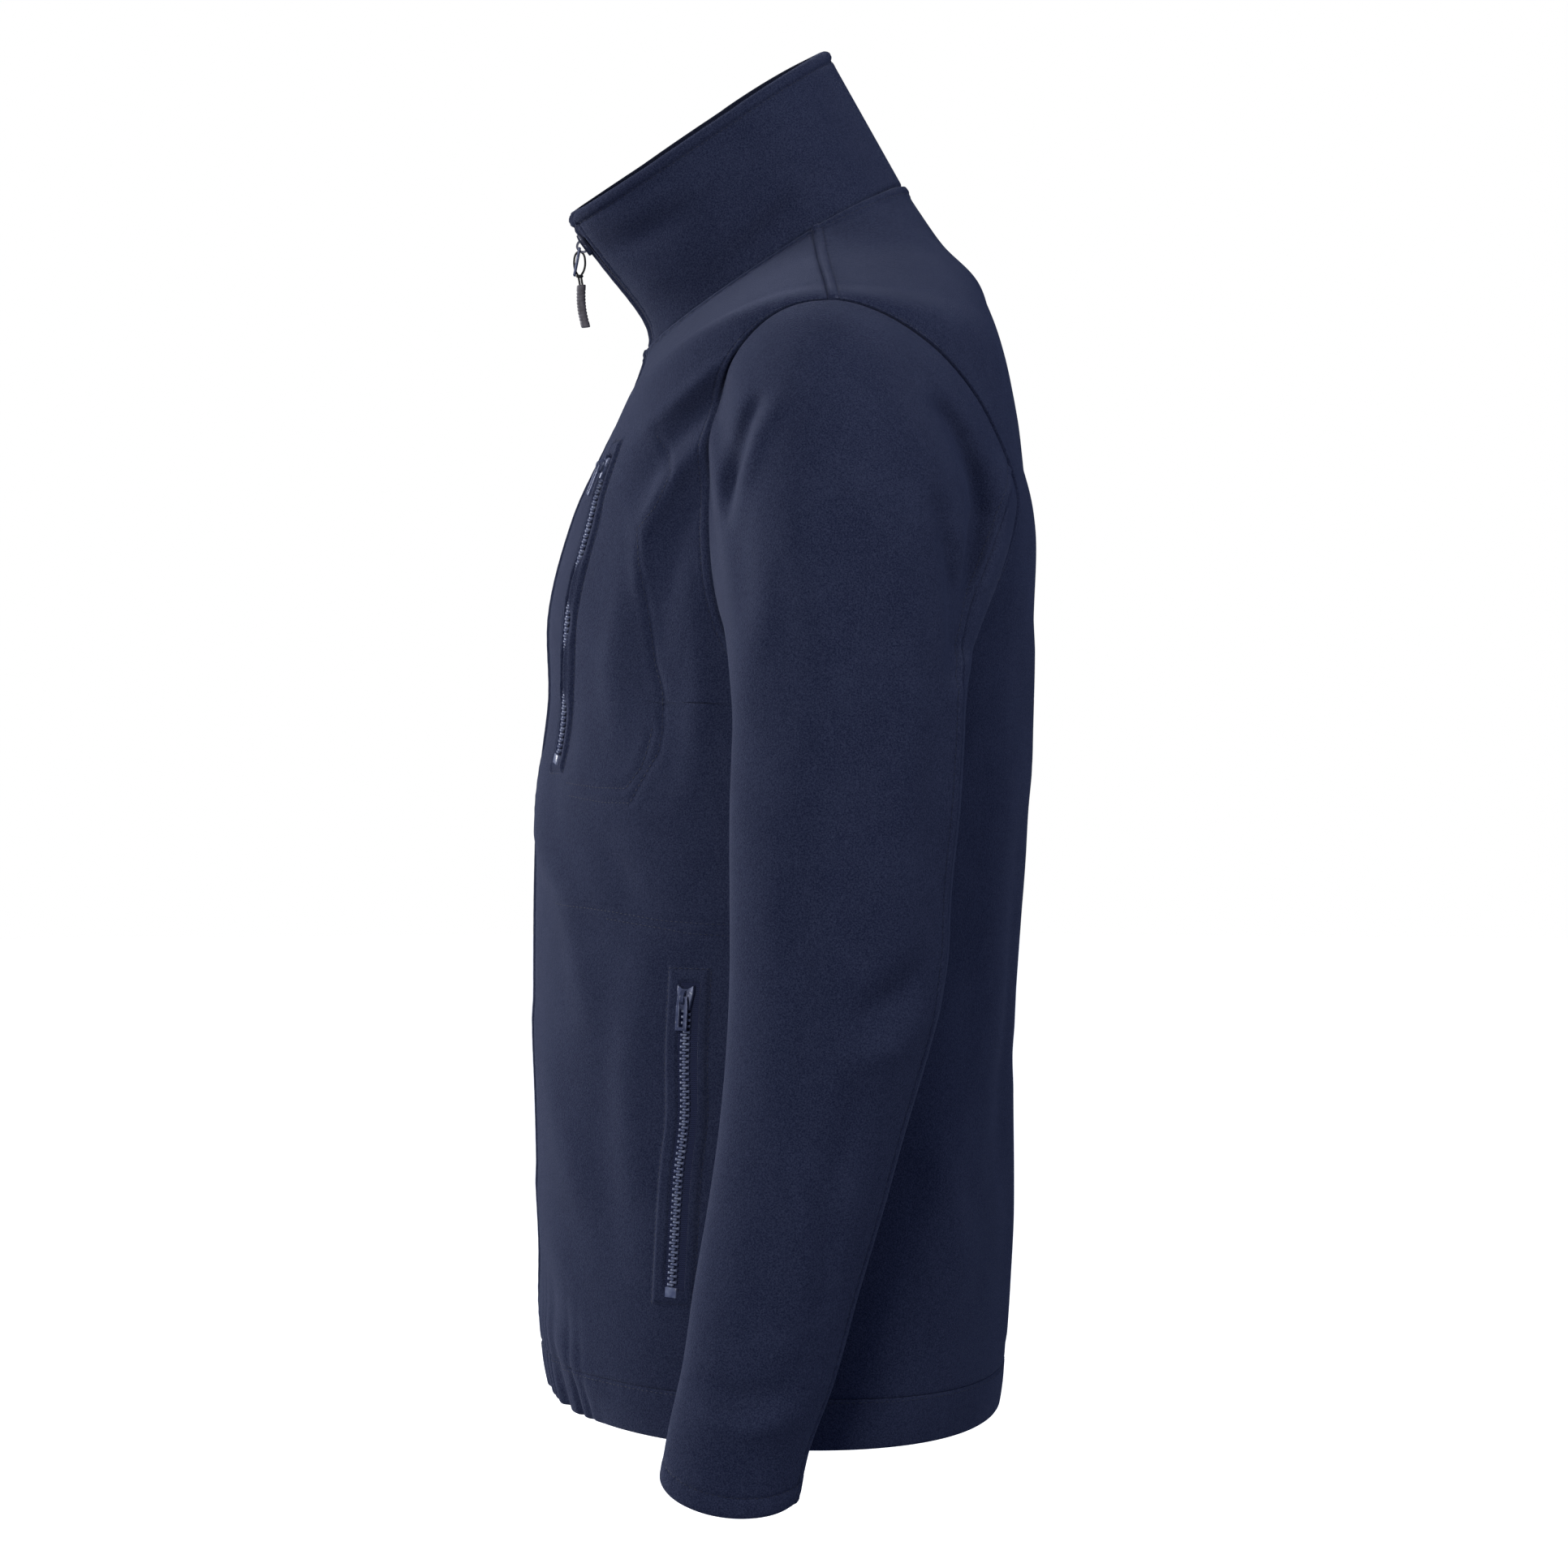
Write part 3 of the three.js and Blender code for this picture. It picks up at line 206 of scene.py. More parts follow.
SLEEVE_FOLDS = {
    1: [
        (-4.0, 11, [(62, -200), (58, -262), (62, -330)]),
        (-5.2, 9, [(52, -348), (40, -364), (22, -374)]),
        (3.6, 9, [(56, -376), (40, -392), (18, -398)]),
        (3.0, 9, [(0, -300), (8, -372), (4, -430)]),
        (-3.0, 8, [(-16, -310), (-8, -380), (-12, -440)]),
        (3.2, 9, [(-20, -452), (-8, -500), (-16, -546)]),
        (-3.4, 9, [(16, -420), (4, -470), (2, -520)]),
        (-4.0, 8, [(-62, -566), (-46, -574), (-22, -570)]),
        (3.2, 8, [(-58, -584), (-40, -590), (-14, -584)]),
        (3.2, 13, [(-20, -110), (0, -190), (-10, -260)]),
        (-3.0, 13, [(20, -120), (34, -200), (24, -280)]),
    ],
    -1: [
        (-4.0, 12, [(60, -190), (54, -256), (60, -320)]),
        (-5.6, 9, [(56, -336), (40, -352), (14, -360)]),
        (3.8, 9, [(54, -364), (36, -382), (10, -386)]),
        (3.2, 9, [(-6, -296), (4, -362), (-4, -424)]),
        (-3.2, 8, [(-22, -320), (-12, -386), (-20, -446)]),
        (3.4, 9, [(-26, -462), (-12, -512), (-24, -556)]),
        (-4.2, 8, [(-66, -556), (-48, -566), (-24, -560)]),
        (3.2, 8, [(-60, -576), (-42, -584), (-16, -576)]),
        (3.2, 13, [(-16, -120), (6, -196), (-6, -266)]),
        (-3.2, 13, [(24, -130), (36, -210), (28, -286)]),
    ],
}
COLLAR_FOLDS = [
    (-6.3, 10, [(-68, 6), (-40, 38), (-18, 64), (-6, 82)]),
    (3.9, 10, [(-58, 40), (-30, 66), (0, 92)]),
    (-4.8, 8, [(-128, 50), (-106, 54), (-82, 64)]),
    (2.8, 9, [(-112, 66), (-88, 76), (-62, 86)]),
    (1.8, 12, [(-108, 20), (-84, 34), (-62, 60)]),
]
# Gathers beside the zip: how many, over what share of each front, how high, and how far above the hem seam
GATHERS = {"count": 7.5, "share": 0.56, "height": 3.6, "up": 30}
GATHERS_SEAM = 0.45  # share of a gather's height at the hem seam

# Sizes of the zips
POCKET_ZIP = {"topAt": -71, "topZ": -366, "bottomAt": -79.5, "bottomZ": -531, "kink": 2.2, "kinkZ": -438}
CHEST_ZIP = {"topAt": 106, "topZ": -76, "bottomAt": 76, "bottomZ": -246, "kink": 0, "kinkZ": -160}
SLIDER_DOWN = 8
SLIDER_SIZE = (9.8, 13.5, 3.2)
FRONT_SLIDER_Z = 55
PROUD_EDGE = 1.7  # by which the right front's edge stands before the left one's
TAPE = 0.9
TAPE_LIFT = 0.5
TEETH_LIFT = TAPE_LIFT + TAPE + 0.3
FRONT_TEETH_LIFT = TAPE - 1.5 - 0.8 * FLEECE + PROUD_EDGE / 2
TEETH_PITCH = 3.2
STITCH_PITCH = 3.3
POCKET_ROW = 11.5  # from the middle of a pocket's zip to the row of stitches on each side
ZIP_BED = {"deep": 2.0, "flat": 7.5, "edge": 12.5, "ends": 8}  # the hollow beneath a pocket's zip
ALLOWANCE = {"deep": 3.0, "radius": 1.3, "points": 90}  # of the seam allowances inside
POCKET_LIPS = (-4.2, 6.0)  # the slot's edges, across the zip
CHEST_LIPS = (-4.4, 4.8)

# Rows of topstitching on the fronts, in the side view (y, z)
CHEST_BAG_ROWS = [
    [(-90, -68), (-83, -79), (-82, -91), (-90, -108), (-100.6, -120), (-99.7, -138), (-94, -167),
     (-90.5, -194), (-86.4, -208), (-86.2, -219), (-86.4, -230), (-88.6, -242), (-94, -251), (-101, -263),
     (-104.5, -270), (-121, -270), (-142, -267)],
    [(-92, -228), (-93.6, -237), (-98, -250), (-107, -262), (-123, -262), (-143.5, -260)],
]
WAIST_ROWS = [
    [(-148.7, -327.7), (-130, -328.6), (-112, -330), (-86, -333.4), (-57.6, -334.4), (-30, -334)],
    [(-118, -333.7), (-90, -337), (-72, -339.6), (-40, -341)],
]


# Tables and curves


def columns_of(names, rows):
    return dict(zip(names.split(), np.array(rows, float).T))


def gaps_along(points, axis=0):
    """How far along an axis of a grid each point lies."""
    step = np.linalg.norm(np.diff(points, axis=axis), axis=-1)
    start = np.zeros_like(np.take(step, [0], axis=axis))
    return np.cumsum(np.concatenate([start, step], axis=axis), axis=axis)


def read_along(far, table, at):
    """A table's rows at distances along a path."""
    return np.stack([np.interp(at, far, table[:, k]) for k in range(table.shape[1])], -1)


def column(far, values, at):
    """A smooth curve through one column of a table, with uneven spacing allowed."""
    span = np.diff(far)
    slope = np.diff(values) / span
    inner = (slope[:-1] * span[1:] + slope[1:] * span[:-1]) / (span[:-1] + span[1:])
    tangent = np.concatenate([slope[:1], inner, slope[-1:]])
    i = np.clip(np.searchsorted(far, at) - 1, 0, len(span) - 1)
    u = np.clip((at - far[i]) / span[i], 0, 1)
    start = (2 * u**3 - 3 * u**2 + 1) * values[i] + (u**3 - 2 * u**2 + u) * span[i] * tangent[i]
    end = (3 * u**2 - 2 * u**3) * values[i + 1] + (u**3 - u**2) * span[i] * tangent[i + 1]
    return start + end


def read_rings(rings, far, at):
    return {name: column(far, values, at) for name, values in rings.items()}


def lerp(a, b, share):
    return a + (b - a) * share


def soft_step(value, low, high):
    share = np.clip((value - low) / (high - low), 0, 1)
    return share * share * (3 - 2 * share)


def bulge(value, middle, height, width):
    """A soft round rise, or a groove where the height is below 0."""
    return height * np.exp(-(((value - middle) / width) ** 2))


def unit(vectors):
    return vectors / np.maximum(np.linalg.norm(vectors, axis=-1, keepdims=True), 1e-9)


def stacked(x, y, z):
    return np.stack(np.broadcast_arrays(x, y, z), -1).astype(float)


# Folds


def from_line(a, b, line):
    """How far points of a view are from a line of straight stretches, and how far along it, as a share."""
    best = np.full(np.shape(a), 1e9)
    share = np.zeros(np.shape(a))
    lengths = [math.dist(p, q) for p, q in zip(line, line[1:])]
    before = 0.0
    for (p, q), length in zip(zip(line, line[1:]), lengths):
        run = ((q[0] - p[0]) / length, (q[1] - p[1]) / length)
        along = np.clip((a - p[0]) * run[0] + (b - p[1]) * run[1], 0, length)
        far = np.hypot(a - p[0] - run[0] * along, b - p[1] - run[1] * along)
        closer = far < best
        best = np.where(closer, far, best)
        share = np.where(closer, (before + along) / sum(lengths), share)
        before += length
    return best, share


def fold_height(folds, a, b):
    total = np.zeros(np.shape(a))
    for height, width, line in folds:
        far, share = from_line(a, b, line)
        total += bulge(far, 0, height, width) * (0.5 + 0.5 * np.sin(math.pi * share))
    return total


# The torso

HALVINGS = 34  # in the search for a panel's edge
PATH_STEPS = 40

TORSO = columns_of(TORSO_NAMES, TORSO_RINGS)
torso_far = gaps_along(np.stack([TORSO["sideX"], TORSO["sideY"], TORSO["sideZ"]], -1))
SLEEVE = columns_of(SLEEVE_NAMES, SLEEVE_RINGS)
sleeve_far = SLEEVE["z"][0] - SLEEVE["z"]


def torso_point(ring, angle, behind):
    """A point of the torso at an angle from the centre line to the side, a quarter turn."""
    half = "back" if behind else "front"
    power = ring[half + "Power"]
    across = np.sin(angle) ** (2 / power)
    forward = np.clip(np.cos(angle), 0, 1) ** (2 / power)
    y = lerp(ring["sideY"], ring[half + "Y"], forward)
    z = lerp(ring["sideZ"], ring[half + "Z"], forward ** ring[half + "Bend"])
    return stacked(ring["sideX"] * across, y, z)


def in_armhole(point):
    y, z = point[..., 1], point[..., 2]
    behind = y > ARMHOLE["centreY"]
    above = z > ARMHOLE["centreZ"]
    power = np.where(
        behind,
        np.where(above, ARMHOLE_POWER["backUp"], ARMHOLE_POWER["backDown"]),
        np.where(above, ARMHOLE_POWER["frontUp"], ARMHOLE_POWER["frontDown"]),
    )
    across = np.abs(y - ARMHOLE["centreY"]) / np.where(behind, ARMHOLE["back"], ARMHOLE["front"])
    along = np.abs(z - ARMHOLE["centreZ"]) / np.where(above, ARMHOLE["up"], ARMHOLE["down"])
    return across**power + along**power < 1


def edge_angle(ring, far, behind):
    """Where a ring meets the armhole, or the side or shoulder seam where it misses the armhole."""
    outside = np.zeros_like(far)
    inside = np.full_like(far, math.pi / 2)
    for _ in range(HALVINGS):
        middle = (outside + inside) / 2
        cut = in_armhole(torso_point(ring, middle, behind))
        inside = np.where(cut, middle, inside)
        outside = np.where(cut, outside, middle)
    whole = (far <= torso_far[UNDERARM] + 1e-6) | (far >= torso_far[SHOULDER] - 1e-6)
    return np.where(whole, math.pi / 2, outside)


def away_from_axis(points):
    x, y = points[..., 0], points[..., 1]
    return unit(stacked(x / 1.5, y + 20, 0 * x))


def drape_torso(points, side):
    folds = BOTH_SIDES + BODY_FOLDS[side]
    height = fold_height(folds, points[..., 1], points[..., 2])
    return points + away_from_axis(points) * height[..., None]


def panel_points(far, share, behind, start_x, side):
    """Points at a share of the way, by length, from the centre line to the panel's edge."""
    ring = read_rings(TORSO, torso_far, far)
    power = ring["backPower" if behind else "frontPower"]
    start = np.arcsin((start_x / ring["sideX"]) ** (power / 2))
    end = edge_angle(ring, far, behind)
    u = np.linspace(0, 1, PATH_STEPS + 1).reshape(-1, *([1] * far.ndim))
    path = torso_point(ring, lerp(start, end, u), behind)
    along = gaps_along(path)
    wanted = share * along[-1]
    i = np.clip((along < wanted).sum(0) - 1, 0, PATH_STEPS - 1)
    low = np.take_along_axis(along, i[None], 0)[0]
    high = np.take_along_axis(along, i[None] + 1, 0)[0]
    step = np.clip((wanted - low) / np.maximum(high - low, 1e-9), 0, 1)
    return drape_torso(torso_point(ring, lerp(start, end, (i + step) / PATH_STEPS), behind), side)


def edge_lines(row):
    """Distances of the cloth's points from an edge: close together at the edge and at its stitches."""
    at_edge = [0, 0.35, 0.9, 1.7, 2.8]
    at_row = [row - 2.2, row - 1.2, row - 0.5, row, row + 0.5, row + 1.2, row + 2.4, row + 4.4]
    return np.array(at_edge + at_row)


def spread(width, spacing, first, last):
    """Places across each width: the first edge's lines, even steps, then the last edge's lines."""
    width = np.atleast_1d(np.asarray(width, float))[:, None]
    squeeze = np.minimum(1, 0.4 * width / max(first[-1], last[-1], 1e-9))
    near, far = first * squeeze, width - last[::-1] * squeeze
    count = max(2, round(float(width.max()) / spacing))
    count += (len(first) + len(last) + count) % 2
    steps = np.linspace(0, 1, count + 1)[1:-1]
    middle = lerp(near[:, -1:], far[:, :1], steps)
    return np.concatenate([near, middle, far], 1)


def odd(places):
    """Makes the number of places odd, so that the inner wall can take every second one."""
    if len(places) % 2:
        return places
    middle = len(places) // 2
    return np.insert(places, middle, (places[middle - 1] + places[middle]) / 2)


def panel_rows(spacing):
    """How far up the table the rows lie at the centre line and at the panel's edge."""
    edge = edge_lines(TOPSTITCH)
    none = np.array([0.0])
    hem, arm, shoulder, neck = (torso_far[k] for k in (HEM_SEAM, UNDERARM, SHOULDER, -1))
    low = hem + spread(arm - hem, spacing, edge, none)[0]
    turn = np.linspace(0, 1, round((shoulder - arm) / spacing) + 1)[1:]
    top = shoulder + spread(neck - shoulder, spacing, none, edge)[0][1:]
    centre = np.concatenate([low, lerp(arm, shoulder, turn), top])
    rounded = lerp(arm, shoulder, (1 - np.cos(math.pi * turn)) / 2)
    outer = np.concatenate([low, rounded, top])
    if len(centre) % 2 == 0:
        centre, outer = np.delete(centre, len(low) + 2), np.delete(outer, len(low) + 2)
    return centre, outer


def half_panel(behind, start_x, spacing, first, side):
    centre, outer = panel_rows(spacing)
    trial = np.linspace(0, 1, 25)[None, :]
    far = lerp(centre[:, None], outer[:, None], trial**1.5)
    width = gaps_along(panel_points(far, np.broadcast_to(trial, far.shape), behind, start_x, side), 1)[:, -1]
    places = spread(width, spacing, first, edge_lines(TOPSTITCH))
    share = places / places[:, -1:]
    far = lerp(centre[:, None], outer[:, None], share**1.5)
    return panel_points(far, share, behind, start_x, side), share


def mirror(points):
    return points * np.array([-1.0, 1, 1])


def mirrored(paths):
    return [(mirror(points), mirror(outs)) for points, outs in paths]


def turned_over(grid):
    """The other side's grid: mirrored, and with its columns reversed so that it still faces out."""
    return mirror(grid)[:, ::-1]


# The sleeve


def armhole_point(step, side):
    """A point of the armhole, from the shoulder point down the front, under the arm and up the back."""
    step = np.mod(step, AROUND)
    behind = step > AROUND / 2
    height = np.abs(AROUND / 2 - step)
    share = (1 - np.cos(math.pi * height / (AROUND / 2))) / 2
    far = lerp(torso_far[UNDERARM], torso_far[SHOULDER], share)
    ring = read_rings(TORSO, torso_far, far)
    both = [torso_point(ring, edge_angle(ring, far, half), half) for half in (False, True)]
    return drape_torso(np.where(behind[..., None], both[1], both[0]), side)


def sleeve_point(ring, turn):
    x = ring["halfWidth"] * np.cos(turn)
    y = -ring["halfDepth"] * np.sin(turn)
    z = ring["z"] + ring["slopeOut"] * x + ring["slopeBack"] * y
    return stacked(ring["centreX"] + x, ring["centreY"] + y, z)


def cap_points(step, share, side):
    """The cap: from each point of the armhole out and down to the sleeve's first ring."""
    turn = 2 * math.pi * step / AROUND
    start = armhole_point(step, side)
    first = {name: values[0] for name, values in SLEEVE.items()}
    end = sleeve_point(first, turn)
    reach = np.linalg.norm(end - start, axis=-1)[..., None]
    top = np.maximum(0, np.cos(turn))[..., None] ** 1.2
    out = unit(np.array([0.93, 0, -0.36]) * top + unit(end - start) * (1 - top))
    second = start + out * 0.34 * reach
    third = end + np.array([0, 0, 1.0]) * lerp(0.28, 0.5, top) * reach
    u = share[:, None, None]
    return (1 - u) ** 3 * start + 3 * u * (1 - u) ** 2 * second + 3 * u**2 * (1 - u) * third + u**3 * end


def sleeve_grid(start_step, end_step, side):
    """A sleeve piece from one step of the armhole to another. Rows run up from the cuff."""
    edge = edge_lines(TOPSTITCH)
    around = spread(12.0 * (end_step - start_step), FINE_GRID, edge, edge)[0] / 12.0
    step = start_step + odd(around)[::-1]
    turn = 2 * math.pi * step / AROUND
    cap_share = np.linspace(0, 1, 61) ** 1.5
    cap = cap_points(step, cap_share, side)
    down = spread(sleeve_far[-1], FINE_GRID, np.array([0.0]), edge_lines(CUFF_HEM))[0][1:]
    ring = read_rings(SLEEVE, sleeve_far, down[:, None] + 0 * turn[None, :])
    tube = sleeve_point(ring, turn[None, :])
    grid = np.concatenate([cap, tube])
    cap_hold = np.clip(cap_share * 14, 0, 1)
    tube_hold = 1 - 0.8 * soft_step(down, sleeve_far[-1] - 16, sleeve_far[-1])
    hold = np.concatenate([cap_hold, tube_hold])
    outer = np.clip(0.95 + np.cos(turn), 0, 1)
    away = unit(stacked(1.0, -0.35 * np.sin(turn), 0))
    height = fold_height(SLEEVE_BOTH + SLEEVE_FOLDS[side], grid[..., 1], grid[..., 2])
    grid = grid + away[None] * (height * outer[None, :] * hold[:, None])[..., None]
    if len(grid) % 2 == 0:
        grid = np.delete(grid, len(cap) + 6, axis=0)
    return grid[::-1]


# A cut piece of cloth


def outward(grid):
    return unit(np.cross(np.gradient(grid, axis=1), np.gradient(grid, axis=0)))


def odd_rows(grid):
    """Leaves out the last row where the number of rows is even."""
    return grid[: len(grid) - (len(grid) + 1) % 2]


class Cloth:
    """A grid of points in millimetres: rows run up and columns to the wearer's right as seen from outside."""

    def __init__(self, grid):
        self.grid = grid
        self.out = outward(grid)
        along = gaps_along(grid, 1)
        up = gaps_along(grid, 0)
        self.left, self.right = along, along[:, -1:] - along
        self.low, self.high = up, up[-1:] - up
        self.height = np.zeros(grid.shape[:2])
        self.depth = np.zeros(grid.shape[:2])

    def outer(self):
        return self.grid + self.out * self.height[..., None]

    def inner(self, wall):
        return self.grid - self.out * (wall - self.depth)[..., None]

    def flat_area(self):
        """The cloth's area in square metres."""
        across = np.diff(self.grid, axis=1)[:-1]
        up = np.diff(self.grid, axis=0)[:, :-1]
        return float(np.linalg.norm(np.cross(across, up), axis=-1).sum() * MM * MM)

    def edge(self, name):
        """The points and outward directions along an edge."""
        where = {
            "left": (slice(None), 0),
            "right": (slice(None), -1),
            "low": (0, slice(None)),
            "high": (-1, slice(None)),
        }
        return self.grid[where[name]], self.out[where[name]]

    def row_beside(self, edge, distance, keep=None):
        """The outer points at a distance from an edge, and their outward directions."""
        far = getattr(self, edge)
        outer = self.outer()
        if edge in ("low", "high"):
            far, outer, out = far.T, outer.transpose(1, 0, 2), self.out.transpose(1, 0, 2)
        else:
            out = self.out
        if edge in ("right", "high"):
            far, outer, out = far[:, ::-1], outer[:, ::-1], out[:, ::-1]
        rows = range(len(far)) if keep is None else np.nonzero(keep)[0]
        points = [[np.interp(distance, far[r], outer[r, :, k]) for k in range(3)] for r in rows]
        outs = [[np.interp(distance, far[r], out[r, :, k]) for k in range(3)] for r in rows]
        return np.array(points), unit(np.array(outs))


def seam_height(far):
    return bulge(far, 0, -0.8, 1.0)


def band_height(far, height, row=TOPSTITCH):
    """The allowance under the cloth lifts it as far as the topstitch, which pulls it in."""
    raised = height * soft_step(far, 0.2, 2.0) * (1 - soft_step(far, row - 0.4, row + 3.0))
    return raised + bulge(far, row, -1.0, 1.1)


def pucker(far, along, row=TOPSTITCH):
    """Small waves that the stitches draw up beside their row."""
    wave = np.sin(2 * math.pi * along / 8.3 + 1.9 * np.sin(along / 23.0))
    return wave * bulge(far, row, 0.16, 3.2)


def turned_height(far, wall):
    """A folded edge is rounded over half the wall."""
    radius = wall / 2
    rise = radius - np.clip(far, 0, radius)
    return -radius + np.sqrt(np.clip(radius**2 - rise**2, 0, None))


# Meshes


def grid_faces(index):
    corners = index[:-1, :-1], index[:-1, 1:], index[1:, 1:], index[1:, :-1]
    return np.stack(corners, -1).reshape(-1, 4)


def rim_faces(outer, inner):
    """Faces between an outer edge and an inner one that has every second point."""
    a, b, c = outer[0:-2:2], outer[1:-1:2], outer[2::2]
    p, q = inner[:-1], inner[1:]
    return np.concatenate([np.stack([a, p, b], -1), np.stack([b, p, q], -1), np.stack([b, q, c], -1)])


def edges_round(index):
    return index[0], index[:, -1], index[-1, ::-1], index[::-1, 0]


def make_piece(name, points, faces, finish, body="jacket", cut=None, slot=None):
    mesh = bpy.data.meshes.new(name)
    mesh.from_pydata((points * MM).tolist(), [], [list(map(int, face)) for face in faces])
    mesh.update()
    mesh.polygons.foreach_set("use_smooth", [True] * len(mesh.polygons))
    if cut is not None:
        places = mesh.uv_layers.new(name="cut")
        corner = np.zeros(len(mesh.loops), np.int32)
        mesh.loops.foreach_get("vertex_index", corner)
        places.data.foreach_set("uv", (cut[corner] * MM).astype(np.float32).ravel())
    mesh.materials.append(finish)
    piece = bpy.data.objects.new(name, mesh)
    bpy.context.scene.collection.objects.link(piece)
    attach(piece, body)
    return piece


def make_wall(name, outer, inner, finish, slot="fleece", body="jacket"):
    """A closed wall of cloth between an outer grid and every second row and column of an inner one."""
    rows, columns = outer.shape[:2]
    inside = inner[::2, ::2]
    front = np.arange(rows * columns).reshape(rows, columns)
    back = rows * columns + np.arange(inside.shape[0] * inside.shape[1]).reshape(inside.shape[:2])
    faces = [tuple(f) for f in grid_faces(front)] + [tuple(f[::-1]) for f in grid_faces(back)]
    for outer_edge, inner_edge in zip(edges_round(front), edges_round(back)):
        faces += [tuple(f) for f in rim_faces(outer_edge, inner_edge)]
    points = np.concatenate([outer.reshape(-1, 3), inside.reshape(-1, 3)])
    along, up = gaps_along(outer, 1), gaps_along(outer, 0)
    cut = np.stack([along, up], -1)
    cut = np.concatenate([cut.reshape(-1, 2), cut[::2, ::2].reshape(-1, 2)])
    return make_piece(name, points, faces, finish, body, cut, slot)


def repeat_along(name, part, origins, frames, finish, slot, body="jacket"):
    """Copies of one modelled part at many places, as one mesh. A frame's rows are the part's x, y and z."""
    corners = np.array([v.co[:] for v in part.data.vertices]) / MM
    faces = [tuple(p.vertices) for p in part.data.polygons]
    placed = np.einsum("vk,nkj->nvj", corners, frames) + origins[:, None, :]
    count = len(corners)
    every = [tuple(i + n * count for i in face) for n in range(len(origins)) for face in faces]
    return make_piece(name, placed.reshape(-1, 3), every, finish, body, slot=slot)


def even_places(points, outs, pitch):
    """Places at an even pitch along a path: points, directions along it and directions out."""
    far = gaps_along(points)
    at = np.arange(pitch / 2, far[-1], pitch)
    if not len(at):
        return points[:1], unit(points[1:2] - points[:1]), outs[:1]
    ahead = read_along(far, points, np.minimum(at + pitch / 2, far[-1]))
    behind = read_along(far, points, np.maximum(at - pitch / 2, 0))
    return read_along(far, points, at), unit(ahead - behind), unit(read_along(far, outs, at))


# Modelling by hand


def edit(select):
    """Goes into edit mode with the active piece's corners that select takes, or all where it is None."""
    piece = bpy.context.object
    bpy.ops.object.mode_set(mode="OBJECT")
    for vertex in piece.data.vertices:
        vertex.select = select is None or bool(select(vertex.co / MM))
    for edge in piece.data.edges:
        edge.select = all(piece.data.vertices[k].select for k in edge.vertices)
    for face in piece.data.polygons:
        face.select = all(piece.data.vertices[k].select for k in face.vertices)
    bpy.ops.object.mode_set(mode="EDIT")


def done():
    bpy.ops.object.mode_set(mode="OBJECT")
    return bpy.context.object


def start_block(name, size, at=(0, 0, 0)):
    bpy.ops.object.select_all(action="DESELECT")
    bpy.ops.mesh.primitive_cube_add(size=1, location=[v * MM for v in at])
    piece = bpy.context.object
    piece.name = name
    piece.scale = [v * MM for v in size]
    bpy.ops.object.transform_apply(location=True, rotation=False, scale=True)
    return piece


def slice_at(axis, value):
    edit(None)
    place = [value * MM if k == axis else 0 for k in range(3)]
    bpy.ops.mesh.bisect(plane_co=place, plane_no=[float(k == axis) for k in range(3)])
    done()


def scale_at(select, factors):
    edit(select)
    bpy.ops.transform.resize(value=factors, center_override=(0, 0, 0))
    done()


def shift_at(select, move):
    edit(select)
    bpy.ops.transform.translate(value=[v * MM for v in move])
    done()


def finish_with(kind, **settings):
    piece = bpy.context.object
    modifier = piece.modifiers.new(kind.title(), kind)
    for name, value in settings.items():
        setattr(modifier, name, value)
    bpy.ops.object.modifier_apply(modifier=modifier.name)
    return piece


# Finishes


class Socket:
    """An output of a shader node. Python's operators on it add Math nodes."""

    def __init__(self, finish, output):
        self.finish = finish
        self.output = output

    def maths(self, operation, *values):
        return self.finish.node("Math", {"operation": operation}, dict(enumerate(values)))

    def __add__(self, other):
        return self.maths("ADD", self, other)

    def __radd__(self, other):
        return self.maths("ADD", other, self)

    def __sub__(self, other):
        return self.maths("SUBTRACT", self, other)

    def __rsub__(self, other):
        return self.maths("SUBTRACT", other, self)

    def __mul__(self, other):
        return self.maths("MULTIPLY", self, other)

    def __rmul__(self, other):
        return self.maths("MULTIPLY", other, self)

    def __pow__(self, other):
        return self.maths("POWER", self, other)


class Finish:
    """A material in the making."""

    def __init__(self, name):
        self.material = bpy.data.materials.new(name)
        self.material.use_nodes = True
        self.tree = self.material.node_tree
        self.shader = self.tree.nodes["Principled BSDF"]
        self.place = self.node("TexCoord", out="Object")

    def node(self, kind, settings=None, inputs=None, out=0):
        made = self.tree.nodes.new("ShaderNode" + kind)
        for name, value in (settings or {}).items():
            if name == "stops":
                self.set_stops(made.color_ramp, value)
            else:
                setattr(made, name, value)
        for name, value in (inputs or {}).items():
            self.feed(made.inputs[name], value)
        return Socket(self, made.outputs[out])

    def feed(self, socket, value):
        if isinstance(value, Socket):
            self.tree.links.new(value.output, socket)
        else:
            socket.default_value = value

    def set_stops(self, ramp, stops):
        while len(ramp.elements) < len(stops):
            ramp.elements.new(0.5)
        for element, (position, colour) in zip(ramp.elements, stops):
            element.position = position
            element.color = (*colour, 1)

    def noise(self, scale, detail=2.0, roughness=0.5, place=None):
        inputs = {"Vector": place or self.place, "Scale": scale, "Detail": detail, "Roughness": roughness}
        return self.node("TexNoise", {"noise_dimensions": "3D"}, inputs)

    def ramp(self, value, *stops):
        return self.node("ValToRGB", {"stops": stops}, {"Fac": value})

    def give(self, **values):
        for name, value in values.items():
            self.feed(self.shader.inputs[name.replace("_", " ")], value)
        return self

    def bump(self, height, strength, distance):
        normal = self.node("Bump", None, {"Height": height, "Strength": strength, "Distance": distance * MM})
        return self.give(Normal=normal)


def shade(*levels):
    """Linear colour from sRGB levels of 0 to 255."""
    return tuple((v / 255 / 12.92) if v <= 10 else ((v / 255 + 0.055) / 1.055) ** 2.4 for v in levels)


